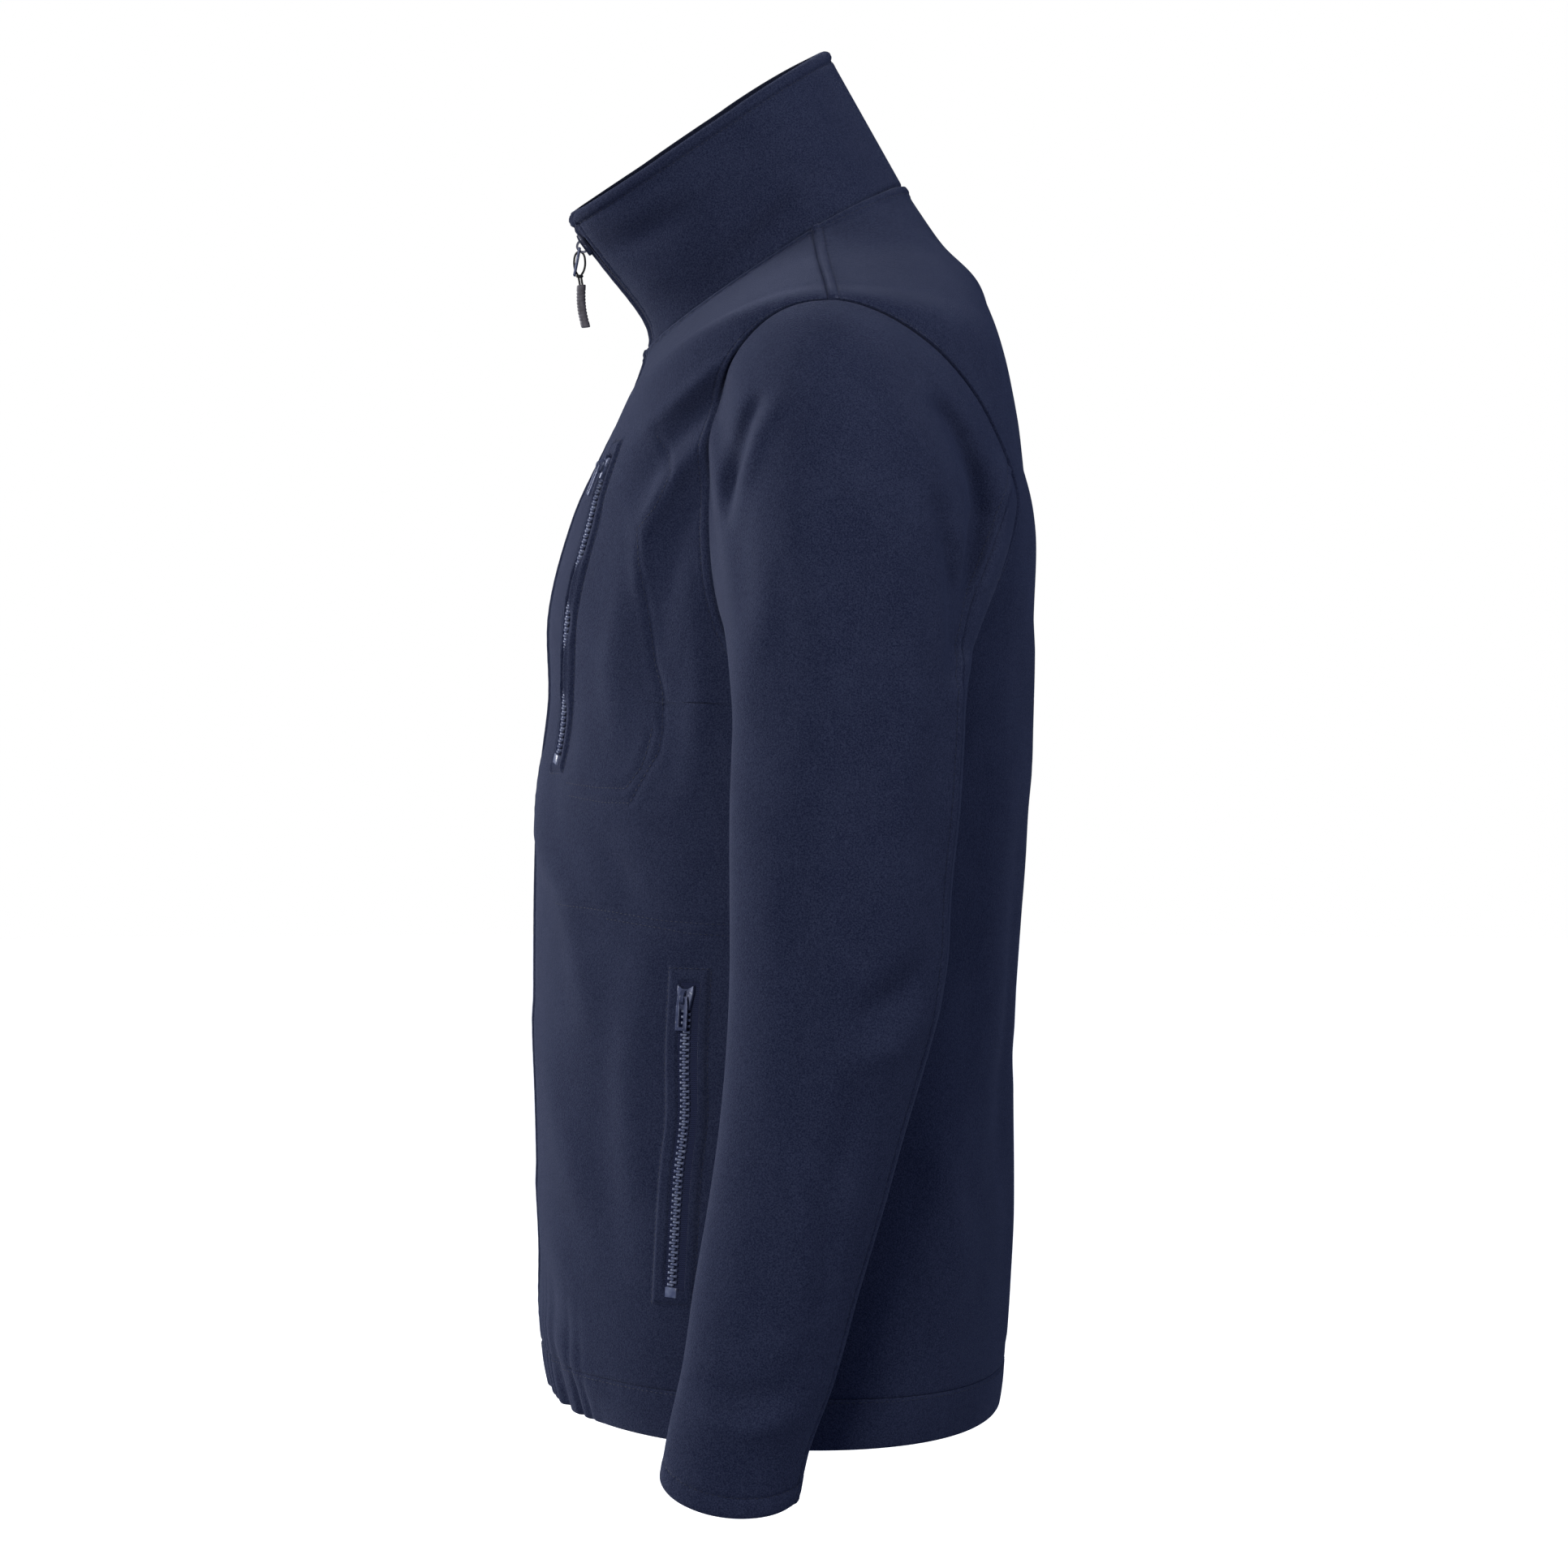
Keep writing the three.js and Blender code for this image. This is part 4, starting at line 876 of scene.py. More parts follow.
def fleece_finish(name, dark, light):
    finish = Finish(name)
    nap = finish.noise(1300, 2.0, 0.6)
    fibres = finish.noise(2400, 1.0, 0.5)
    tufts = finish.noise(330, 2.0, 0.5)
    patches = finish.noise(34, 2.0, 0.5)
    grain = nap * 0.6 + fibres * 0.26 + tufts * 0.04 + patches * 0.1
    colour = finish.ramp(grain, (0.4, dark), (0.6, light))
    finish.give(Base_Color=colour, Roughness=0.92, Sheen_Weight=0.3, Sheen_Roughness=0.3)
    finish.give(Sheen_Tint=(*shade(150, 158, 190), 1), Specular_IOR_Level=0.1)
    finish.bump(nap * 0.8 + fibres * 0.4 + tufts * 0.15, 1.0, 0.7)
    return finish.material


def woven_finish(name, dark, light, pitch):
    """A woven tape: fine ribs across it, and threads along it."""
    finish = Finish(name)
    cut = finish.node("UVMap", {"uv_map": "cut"})
    parts = finish.node("SeparateXYZ", None, {0: cut})
    across, along = parts, Socket(finish, parts.output.node.outputs[1])
    turns = 2 * math.pi / (pitch * MM)
    ribs = (along * turns).maths("SINE", along * turns)
    threads = (across * turns).maths("SINE", across * (turns * 0.8))
    weave = ribs * threads * 0.25 + 0.5 + ribs * 0.2
    speck = finish.noise(1500, 1.0)
    colour = finish.ramp(weave * 0.7 + speck * 0.3, (0.25, dark), (0.8, light))
    finish.give(Base_Color=colour, Roughness=0.85, Specular_IOR_Level=0.12)
    finish.bump(weave, 0.6, 0.25)
    return finish.material


def thread_finish(name, dark, light):
    finish = Finish(name)
    twist = finish.noise(2600, 1.0)
    finish.give(Base_Color=finish.ramp(twist, (0.3, dark), (0.7, light)), Roughness=0.6)
    finish.bump(twist, 0.4, 0.1)
    return finish.material


def moulded_finish(name, dark, light, roughness):
    finish = Finish(name)
    cloud = finish.noise(240, 2.0)
    grit = finish.noise(2200, 2.0)
    finish.give(Base_Color=finish.ramp(cloud, (0.35, dark), (0.65, light)))
    finish.give(Roughness=grit * 0.16 + (roughness - 0.08), Specular_IOR_Level=0.5)
    finish.bump(grit, 0.15, 0.08)
    return finish.material


def enamel_finish(name, dark, light, worn):
    """Painted zinc, with bare metal where the paint has worn thin."""
    finish = Finish(name)
    cloud = finish.noise(300, 3.0)
    scuffs = finish.node("TexNoise", None, {"Vector": finish.place, "Scale": 900.0, "Detail": 4.0})
    wear = finish.ramp(scuffs, (0.62, (0, 0, 0)), (0.72, (1, 1, 1)))
    paint = finish.ramp(cloud, (0.3, dark), (0.7, light))
    mixed = finish.node("Mix", {"data_type": "RGBA"}, {0: wear, 6: paint, 7: (*worn, 1)}, 2)
    finish.give(Base_Color=mixed, Metallic=wear * 0.5 + 0.35, Roughness=0.34 + cloud * 0.12)
    finish.bump(scuffs, 0.12, 0.06)
    return finish.material


NAVY_DARK = shade(27, 33, 57)
NAVY_LIGHT = shade(54, 60, 84)
fleece = fleece_finish("brushed_fleece", NAVY_DARK, NAVY_LIGHT)
tape_weave = woven_finish("woven_zip_tape", shade(20, 25, 46), shade(52, 58, 88), 1.1)
# Navy thread, painted darker than the fleece so that its rows read as dark lines: painted shade for the
# grooves the stitches sink into.
thread_with_painted_shade = thread_finish("sewing_thread", shade(20, 25, 46), shade(36, 42, 66))
teeth_plastic = moulded_finish("moulded_teeth", shade(84, 92, 124), shade(118, 126, 152), 0.3)
# The front slider is the pockets' enamel painted darker: painted shade, so that it reads as the shadowed
# front edge.
front_enamel_with_painted_shade = enamel_finish("front_slider_enamel", shade(30, 35, 58), shade(46, 52, 78), shade(120, 124, 140))
# The front zip's teeth are the same plastic as the pockets' teeth, painted much darker: painted shade for the
# shadowed front edge.
front_teeth_with_painted_shade = moulded_finish("front_moulded_teeth", shade(18, 22, 42), shade(32, 38, 62), 0.85)
enamel = enamel_finish("slider_enamel", shade(62, 69, 98), shade(88, 96, 126), shade(160, 164, 178))
rubber = moulded_finish("grip_rubber", shade(84, 80, 86), shade(112, 108, 116), 0.62)
cord_weave = thread_finish("braided_cord", shade(10, 10, 14), shade(34, 34, 42))

sewn_rows = []  # paths of topstitching: points and outward directions
seam_paths = []  # edges that a seam allowance backs


def sew(points, outs):
    sewn_rows.append((points, outs))


def along_edge(cloth, edge):
    return cloth.low if edge in ("left", "right") else cloth.left


def add_band(cloth, edge, height, where=1.0, row=TOPSTITCH):
    far = getattr(cloth, edge)
    cloth.height += where * (band_height(far, height, row) + pucker(far, along_edge(cloth, edge), row))


def declare(piece, cloth, size, held, rests_on, *nodes):
    """Hides the CAD nodes that a piece of cloth stands for, and takes the smaller of its area and the size
    that it was cut to, which is not kept.
    """
    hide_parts(*nodes)
    min(cloth.flat_area(), size[0] * size[1])


def press_rows(cloth, rows, view=(1, 2), depth=0.9):
    """Grooves where topstitching crosses the cloth, drawn in a view."""
    a, b = cloth.grid[..., view[0]], cloth.grid[..., view[1]]
    for line in rows:
        far, share = from_line(a, b, line)
        groove = bulge(far, 0, -depth, 1.6) + bulge(far, 4.2, 0.35, 2.6)
        cloth.height += groove * soft_step(np.minimum(share, 1 - share), -0.01, 0.03)


# Fronts


def gather_waves(share):
    """Uneven waves from the zip to where the gathers end."""
    u = np.clip(share / GATHERS["share"], 0, 1)
    turn = 2 * math.pi * (GATHERS["count"] * u + 0.32 * np.sin(14.5 * u))
    wave = np.sin(turn) + 0.28 * np.cos(2 * turn) + 0.2
    fade = np.clip((1 - u) * 2.2, 0, 1) * np.clip(u * 22, 0, 1) * (0.8 + 0.3 * np.sin(9 * u + 1))
    return wave * fade * GATHERS["height"]


def zip_at(zip_line, z):
    """Where a pocket's zip lies at a height, across the view that it is drawn in."""
    kink = bulge(z, zip_line["kinkZ"], zip_line["kink"], 22)
    share = (zip_line["topZ"] - z) / (zip_line["topZ"] - zip_line["bottomZ"])
    return lerp(zip_line["topAt"], zip_line["bottomAt"], share) + kink


def press_zip(cloth, zip_line, axis):
    """The cloth lies lower beneath a pocket's zip, drawn in the front view (axis 0) or the side view (1)."""
    z = cloth.grid[..., 2]
    across = np.abs(cloth.grid[..., axis] - zip_at(zip_line, z))
    bottom, top = zip_line["bottomZ"], zip_line["topZ"]
    inside = 1 - soft_step(across, ZIP_BED["flat"], ZIP_BED["edge"])
    inside *= soft_step(z, bottom - ZIP_BED["ends"], bottom) * (1 - soft_step(z, top, top + ZIP_BED["ends"]))
    cloth.height -= ZIP_BED["deep"] * inside


def make_front(side):
    grid, share = half_panel(False, ZIP_OPENING, FINE_GRID, edge_lines(TOPSTITCH), side)
    cloth = Cloth(grid)
    waves = gather_waves(share) * bulge(cloth.low, 0, GATHERS_SEAM, GATHERS["up"])
    grid = grid + away_from_axis(grid) * waves[..., None]
    cloth = Cloth(grid)
    z = grid[:, -1, 2]
    at_armhole = soft_step(z, -222, -208) * (1 - soft_step(z, -4, 4))
    cloth.height += seam_height(cloth.right) + seam_height(cloth.high) + 0.6 * seam_height(cloth.low)
    proud = PROUD_EDGE if side < 0 else 0.0
    rolled = turned_height(cloth.left, FLEECE) * 0.9 + bulge(cloth.left, 0, proud, 20)
    cloth.height += rolled
    cloth.depth += rolled
    add_band(cloth, "right", 0.9, at_armhole[:, None])
    add_band(cloth, "high", 1.3)
    add_band(cloth, "left", 0.4 if side > 0 else 1.3)
    press_rows(cloth, WAIST_ROWS)
    if side > 0:
        press_rows(cloth, CHEST_BAG_ROWS)
    return cloth, at_armhole


def build_front(side):
    cloth, at_armhole = make_front(side)
    if side > 0:
        press_zip(cloth, CHEST_ZIP, 0)
    press_zip(cloth, POCKET_ZIP, 1)
    outer, inner = cloth.outer(), cloth.inner(FLEECE)
    rows = [
        cloth.row_beside("right", TOPSTITCH, at_armhole > 0.5),
        cloth.row_beside("high", TOPSTITCH),
        cloth.row_beside("left", TOPSTITCH),
    ]
    edges = [cloth.edge("right"), cloth.edge("high"), cloth.edge("low")]
    if side < 0:
        outer, inner = turned_over(outer), turned_over(inner)
        rows, edges = mirrored(rows), mirrored(edges)
    for row in rows:
        sew(*row)
    seam_paths.extend(edges)
    name, node = ("left_front", "front_left") if side > 0 else ("right_front", "front_right")
    piece = make_wall(name, outer, inner, fleece)
    declare(piece, cloth, (0.34, 0.69), "hung", ["yoke_and_back"], node)
    return cloth, piece


fronts = {side: build_front(side) for side in (1, -1)}

# Back


def build_back():
    halves = [half_panel(True, 0, GRID, np.array([0.0]), side)[0] for side in (1, -1)]
    grid = np.concatenate([halves[0][:, ::-1], mirror(halves[1])[:, 1:]], 1)
    cloth = Cloth(grid)
    clear = soft_step(np.minimum(cloth.left, cloth.right), 4, 40) * soft_step(cloth.high, 2, 20)
    clear *= soft_step(cloth.low, 2, 20)
    lift = fold_height(BACK_FOLDS, grid[..., 0], grid[..., 2]) * clear
    grid = grid + away_from_axis(grid) * lift[..., None]
    cloth = Cloth(grid)
    at_armhole = soft_step(grid[:, 0, 2], -222, -208)
    cloth.height += seam_height(cloth.left) + seam_height(cloth.right) + seam_height(cloth.high)
    cloth.height += 0.6 * seam_height(cloth.low)
    for edge in ("left", "right"):
        add_band(cloth, edge, 0.9, at_armhole[:, None])
        sew(*cloth.row_beside(edge, TOPSTITCH, at_armhole > 0.5))
        seam_paths.append(cloth.edge(edge))
    add_band(cloth, "high", 1.6)
    sew(*cloth.row_beside("high", TOPSTITCH))
    seam_paths.extend([cloth.edge("high"), cloth.edge("low")])
    piece = make_wall("yoke_and_back", cloth.outer(), cloth.inner(FLEECE), fleece)
    declare(piece, cloth, (0.66, 0.75), "hung", ["left_front", "right_front"], "back")
    return cloth


back = build_back()

# Sleeves


def build_sleeve(side):
    word = "left" if side > 0 else "right"
    for part, start, end, size in (
        ("top", BACK_SEAM - AROUND, AROUND // 2, (0.36, 0.72)),
        ("under", AROUND // 2, BACK_SEAM, (0.2, 0.66)),
    ):
        cloth = Cloth(sleeve_grid(start, end, side))
        cloth.height += seam_height(cloth.left) + seam_height(cloth.right) + seam_height(cloth.high)
        cuff = turned_height(cloth.low, TURNED_HEM)
        stitch = bulge(cloth.low, CUFF_HEM, -0.7, 1.0) + pucker(cloth.low, cloth.left, CUFF_HEM)
        puff = bulge(cloth.low, CUFF_HEM / 2, 0.5, 4)
        cloth.height += cuff + stitch + puff
        cloth.depth += cuff
        rows = [cloth.row_beside("low", CUFF_HEM)]
        if part == "top":
            add_band(cloth, "right", 0.8)
            rows.append(cloth.row_beside("right", TOPSTITCH))
        wall = lerp(TURNED_HEM, FLEECE, soft_step(cloth.low, CUFF_HEM - 1, CUFF_HEM + 2))
        outer, inner = cloth.outer(), cloth.inner(wall)
        edges = [cloth.edge("left"), cloth.edge("right")]
        if side < 0:
            outer, inner = turned_over(outer), turned_over(inner)
            rows, edges = mirrored(rows), mirrored(edges)
        for row in rows:
            sew(*row)
        seam_paths.extend(edges)
        piece = make_wall(f"{word}_{part}_sleeve", outer, inner, fleece)
        declare(piece, cloth, size, "hung", ["yoke_and_back"], f"sleeve_{part}_{word}")


for side in (1, -1):
    build_sleeve(side)

# Collar


def neck_ring():
    """The neck seam, from the left front's edge round the back to the right front's edge."""
    halves = []
    for side in (1, -1):
        front = half_panel(False, ZIP_OPENING, GRID, np.array([0.0]), side)[0][-1]
        behind = half_panel(True, 0, GRID, np.array([0.0]), side)[0][-1]
        halves.append(np.concatenate([front, behind[::-1][1:]]))
    ring = np.concatenate([halves[0], mirror(halves[1])[::-1][1:]])
    far = gaps_along(ring)
    edge = edge_lines(TOPSTITCH)
    at = odd(spread(far[-1], FINE_GRID, edge, edge)[0])
    return read_along(far, ring, at)


def corner_distance(a, b):
    """How far a point is from the outline of a rounded corner, from its distances to the two edges."""
    short_a = np.clip(COLLAR_CORNER - a, 0, None)
    short_b = np.clip(COLLAR_CORNER - b, 0, None)
    inside = COLLAR_CORNER - np.hypot(short_a, short_b)
    return np.clip(np.where((a < COLLAR_CORNER) & (b < COLLAR_CORNER), inside, np.minimum(a, b)), 0, None)


def round_corners(cloth, radius):
    """Draws the points at the two front corners of the top edge in to a quarter circle."""
    grid = cloth.grid.copy()
    up = unit(np.gradient(grid, axis=0))
    across = unit(np.gradient(grid, axis=1))
    for side, inward in ((cloth.left, 1.0), (cloth.right, -1.0)):
        a, b = np.clip(radius - cloth.high, 0, None), np.clip(radius - side, 0, None)
        far = np.hypot(a, b)
        reach = np.maximum(a, b)
        pull = np.where((a > 0) & (b > 0), 1 - reach / np.maximum(far, 1e-6), 0)
        grid = grid - up * (pull * a)[..., None] + across * (pull * b * inward)[..., None]
    return grid


def collar_grid():
    """The collar from the neck seam up: it narrows, leans forward and dips at the front."""
    ring = neck_ring()
    places = spread(COLLAR_HEIGHT, FINE_GRID, edge_lines(TOPSTITCH), edge_lines(COLLAR_STITCH))[0]
    share = (odd(places) / COLLAR_HEIGHT)[:, None]
    lean = np.array([0, -math.sin(COLLAR_LEAN), math.cos(COLLAR_LEAN)])
    narrow = 1 - COLLAR_TOP_NARROWING * share / (NECK_SIDE - ZIP_OPENING)
    x = np.sign(ring[:, 0]) * (ZIP_OPENING + (np.abs(ring[:, 0]) - ZIP_OPENING) * narrow)
    y, z = ring[:, 1], ring[:, 2]
    rise = COLLAR_HEIGHT + COLLAR_RISE["middle"] * (x / NECK_SIDE) ** 2 + COLLAR_RISE["side"] * x / NECK_SIDE
    rise = rise + COLLAR_RISE["back"] * np.clip((y + 10) / 60, 0, 1)
    grid = stacked(x, y, z) + lean * (share * rise)[..., None]
    at_front = np.clip(1 - np.hypot(x, y - NECK_FRONT) / 70, 0, 1)
    grid[..., 1] += (COLLAR_FRONT_DIP * share * (1 - share) ** 3 - COLLAR_TIP * share**2) * at_front
    away = unit(stacked(x, (y + 25) / 1.3, 0 * x))
    free = np.sin(math.pi * share) * np.clip((np.abs(x) - ZIP_OPENING) / 20, 0, 1)
    folds = fold_height(COLLAR_FOLDS, grid[..., 1], grid[..., 2])
    return grid + away * (folds * free)[..., None]


def build_collar():
    cloth = Cloth(round_corners(Cloth(collar_grid()), COLLAR_CORNER))
    near_front = np.minimum(cloth.left, cloth.right)
    at_corner = cloth.high + near_front < 6 * COLLAR_CORNER
    rim = np.where(at_corner, corner_distance(cloth.high, near_front), cloth.high)
    rounded = turned_height(rim, COLLAR_WALL + 1.6)
    puff = bulge(cloth.high, COLLAR_STITCH / 2, 1.3, 3.4) * soft_step(near_front, 0, 6)
    groove = bulge(cloth.high, COLLAR_STITCH, -1.0, 1.1)
    waves = pucker(cloth.high, cloth.left, COLLAR_STITCH)
    front_edges = turned_height(cloth.left, COLLAR_WALL) + turned_height(cloth.right, COLLAR_WALL)
    front_edges = front_edges + bulge(cloth.right, 0, PROUD_EDGE, 20)
    cloth.height += rounded + puff + groove + waves + seam_height(cloth.low) + front_edges
    cloth.depth += rounded + puff * 0.5 + groove * 0.6 + front_edges
    for edge, height in (("left", 0.4), ("right", 1.3)):
        add_band(cloth, edge, height)
        sew(*cloth.row_beside(edge, TOPSTITCH))
    sew(*cloth.row_beside("high", COLLAR_STITCH))
    piece = make_wall("stand_collar", cloth.outer(), cloth.inner(COLLAR_WALL), fleece)
    declare(piece, cloth, (0.49, 0.105), "folded", ["yoke_and_back"], "collar")
    return cloth


collar = build_collar()

# Hem casing

HEM_EDGE = edge_lines(3.0)[:5]
HEM_STITCH = 1.8  # from the hem seam down to its row


def hem_rows():
    places = spread(torso_far[HEM_SEAM] - 0.3, 2.0, edge_lines(TOPSTITCH), HEM_EDGE)[0]
    return odd(places)


def finish_hem(name, cloth, nodes, size, side=1):
    fold = turned_height(cloth.low, TURNED_HEM)
    puff = 0.5 * np.sin(math.pi * np.clip(cloth.low / 26, 0, 1))
    cloth.height += fold + 0.6 * seam_height(cloth.high) + puff
    cloth.height += 0.5 * (seam_height(cloth.left) + seam_height(cloth.right))
    cloth.height += pucker(cloth.high, cloth.left, HEM_STITCH)
    cloth.depth += fold
    outer, inner = cloth.outer(), cloth.inner(TURNED_HEM)
    row = cloth.row_beside("high", HEM_STITCH)
    if side < 0:
        outer, inner = turned_over(outer), turned_over(inner)
        row = tuple(mirror(part) for part in row)
    sew(*row)
    piece = make_wall(name, outer, inner, fleece)
    declare(piece, cloth, size, "gathered", ["yoke_and_back"], *nodes)


def build_hems():
    rows = hem_rows()
    for side, word in ((1, "left"), (-1, "right")):
        share = odd(spread(290.0, 1.9, HEM_EDGE, HEM_EDGE)[0]) / 290.0
        far = rows[:, None] + 0 * share[None, :]
        shares = np.broadcast_to(share[None, :], far.shape)
        grid = panel_points(far, shares, False, ZIP_OPENING, side)
        grow = GATHERS_SEAM + (1 - GATHERS_SEAM) * (1 - rows / torso_far[HEM_SEAM])
        waves = gather_waves(share)[None, :] * grow[:, None]
        grid = grid + away_from_axis(grid) * waves[..., None]
        finish_hem(f"{word}_hem", Cloth(grid), [f"hem_casing_{word}"], (0.32, 0.035), side)
    halves = []
    for side in (1, -1):
        share = spread(300.0, GRID, np.array([0.0]), HEM_EDGE)[0] / 300.0
        far = rows[:, None] + 0 * share[None, :]
        halves.append(panel_points(far, np.broadcast_to(share[None, :], far.shape), True, 0, side))
    grid = np.concatenate([halves[0][:, ::-1], mirror(halves[1])[:, 1:]], 1)
    finish_hem("back_hem", Cloth(grid), ["hem_casing_back"], (0.66, 0.035))


build_hems()

# Seam allowances, which close each seam from inside


def tube(points, outs, radius, sides=6):
    """Rings of points round a path."""
    run = unit(np.gradient(points, axis=0))
    side = np.cross(run, outs)
    turn = np.linspace(0, 2 * math.pi, sides, endpoint=False)
    ring = np.cos(turn)[None, :, None] * outs[:, None] + np.sin(turn)[None, :, None] * side[:, None]
    return points[:, None] + ring * radius


def build_allowances():
    """Thin rolls of cloth behind the seams."""
    points, faces = [], []
    for path, outs in seam_paths:
        step = max(1, len(path) // ALLOWANCE["points"])
        path, outs = path[::step], outs[::step]
        ring = tube(path - outs * ALLOWANCE["deep"], outs, ALLOWANCE["radius"])
        count, sides = ring.shape[:2]
        index = sum(len(p) for p in points) + np.arange(count * sides).reshape(count, sides)
        closed = np.concatenate([index, index[:, :1]], 1)
        faces += [tuple(f) for f in grid_faces(closed)]
        faces += [tuple(index[0][::-1]), tuple(index[-1])]
        points.append(ring.reshape(-1, 3))
    piece = make_piece("seam_allowances", np.concatenate(points), faces, fleece, slot="fleece")
    recalculate(piece)


def recalculate(piece):
    bpy.ops.object.select_all(action="DESELECT")
    bpy.context.view_layer.objects.active = piece
    piece.select_set(True)
    bpy.ops.object.mode_set(mode="EDIT")
    bpy.ops.mesh.select_all(action="SELECT")
    bpy.ops.mesh.normals_make_consistent(inside=False)
    bpy.ops.object.mode_set(mode="OBJECT")


build_allowances()

# Zips

joints = {joint["name"]: joint for joint in frame["joints"]}
POCKET_NAMES = {"pocket_left": "left_pocket", "pocket_right": "right_pocket", "chest": "chest_pocket"}
POCKET_PULLS = {"pocket_left": "left_pocket_pull", "pocket_right": "right_pocket_pull", "chest": "chest_pull"}
WELT_HALF = POCKET_ROW + 4.5  # half the width of a welt
WELT_CLOTH = 0.9
WELT_OFFSETS = np.linspace(-WELT_HALF, WELT_HALF, 45)
MIDDLE = 22  # the offset that lies on the zip
TAPE_COLUMNS = slice(13, 32)
BRIDGE = {"height": 4.2, "bar": 1.2}
AXIS_HEIGHT = 3.4 + BRIDGE["height"] - BRIDGE["bar"] - 1.1  # of a pull's axis above the slider's seat


def smoothed(grid, axis, rounds):
    """Evens out the small kinks of a grid along an axis, with its ends held."""
    grid = np.moveaxis(grid.copy(), axis, 0)
    for _ in range(rounds):
        grid[1:-1] = (grid[:-2] + 2 * grid[1:-1] + grid[2:]) / 4
    return np.moveaxis(grid, 0, axis)


class Looker:
    """Meets a front's cloth with straight looks from outside it."""

    def __init__(self, side):
        grid = fronts[side][0].grid
        index = np.arange(grid.shape[0] * grid.shape[1]).reshape(grid.shape[:2])
        self.tree = BVHTree.FromPolygons((grid.reshape(-1, 3) * MM).tolist(), grid_faces(index).tolist())

    def meet(self, start, look):
        place = self.tree.ray_cast(Vector(start) * MM, Vector(look))[0]
        return np.array(place) / MM if place is not None else None

    def grid(self, zip_line, heights, offsets):
        from_side = zip_line is POCKET_ZIP
        rows = []
        for z in heights:
            middle = float(zip_at(zip_line, z))
            row = []
            for offset in offsets:
                at = middle + offset
                start, look = ((600, at, z), (-1, 0, 0)) if from_side else ((at, -600, z), (0, 1, 0))
                row.append(self.meet(start, look))
            rows.append(row)
        return smoothed(smoothed(np.array(rows), 0, 30), 1, 4)


lookers = {side: Looker(side) for side in (1, -1)}


def lifted(grid, lift):
    return grid + outward(grid) * np.broadcast_to(lift, grid.shape[:2])[..., None]


def strip(name, grid, lift, thickness, finish, slot, node, side):
    """A strip of cloth or tape that lies on a grid."""
    outer, inner = lifted(grid, lift + thickness), lifted(grid, lift)
    if side < 0:
        outer, inner = turned_over(outer), turned_over(inner)
    piece = make_wall(name, outer, inner, finish, slot)
    if node:
        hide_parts(node)
    return piece


def model_tooth():
    """One moulded tooth: x from the tape towards the middle, y along the zip and z out."""
    start_block("tooth", (3.9, 1.7, 2.0), (-0.85, 0, 1.0))
    for place in (-1.6, -0.7, 0.3):
        slice_at(0, place)
    scale_at(lambda v: abs(v.x + 0.7) < 0.05, (1, 0.58, 1))
    scale_at(lambda v: abs(v.x + 1.6) < 0.05, (1, 0.8, 1))
    scale_at(lambda v: v.x > 1.0, (1, 0.5, 0.86))
    scale_at(lambda v: v.x < -2.7, (1, 1.1, 0.7))
    scale_at(lambda v: v.z > 1.0, (0.97, 0.84, 1))
    return done()


def model_stitch():
    """One stitch, lying along x and sunk a little at both ends."""
    bpy.ops.object.select_all(action="DESELECT")
    bpy.ops.mesh.primitive_ico_sphere_add(subdivisions=1, radius=MM)
    scale_at(None, (1.3, 0.26, 0.16))
    edit(None)
    bpy.ops.transform.rotate(value=math.radians(4), orient_axis="Z", center_override=(0, 0, 0))
    return done()


def remove(piece):
    bpy.data.objects.remove(piece)


def frames_of(run, out):
    """Frames whose x runs along a path and whose z points out."""
    across = unit(np.cross(out, run))
    return np.stack([run, across, unit(np.cross(run, across))], 1)


tooth = model_tooth()
stitch = model_stitch()


def lay_teeth(name, path, outs, lift, plastic, node, side=1, spread_by=0.0):
    """Two rows of teeth that mesh, from the tape on each side to the middle."""
    places, run, out = even_places(path, outs, TEETH_PITCH / 2)
    across = unit(np.cross(run, out))
    turn = np.where(np.arange(len(places)) % 2 == 0, 1.0, -1.0)[:, None]
    frames = np.stack([across * turn, run * turn, unit(np.cross(across, run)) * 1.0], 1)
    origins = places + out * lift - across * turn * spread_by
    if side < 0:
        origins, frames = mirror(origins), mirror(frames) * np.array([[[1.0], [-1.0], [1.0]]])
    piece = repeat_along(name, tooth, origins, frames, plastic, "zip_teeth")
    recalculate(piece)
    if node:
        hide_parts(node)
    return piece


def welt_height(across, up, top, lips, cover):
    """The cloth beside a pocket's zip: it rises from the front, past its topstitch, to a lip at the slot."""
    slot = np.maximum.reduce([lips[0] - across, across - lips[1], -up, up - top])
    border = np.minimum.reduce([WELT_HALF - np.abs(across), up + 13, top + 13 - up])
    row = np.maximum.reduce([np.abs(across) - POCKET_ROW, -9.0 - up, up - top - 8.0])
    band = -2.2 + 1.5 * soft_step(border, 0, 2.4) + 2.8 * soft_step(border, 2.0, 8.0)
    groove = bulge(row, 0, -0.7, 0.9)
    lip = 0.3 * soft_step(slot, 4.0, 1.0) + 2.6 * cover * soft_step(slot, 8.0, 0.8)
    return (band + lip + groove) * soft_step(slot, -0.6, 1.3) - 0.4


def chest_cover(up):
    """Where the chest zip's cloth closes over its teeth."""
    return np.exp(-(((up - 97) / 14) ** 4)) + np.exp(-(((up - 50) / 18) ** 4))


def nearest(values, wanted):
    return int(np.argmin(np.abs(values - wanted)))


def pull_axis(pull, side=1):
    """Where a pull's hinge lies, in millimetres, mirrored for the other side."""
    return np.array(joints[pull + "_swing"]["pos_m"]) / MM * np.array([side, 1, 1])


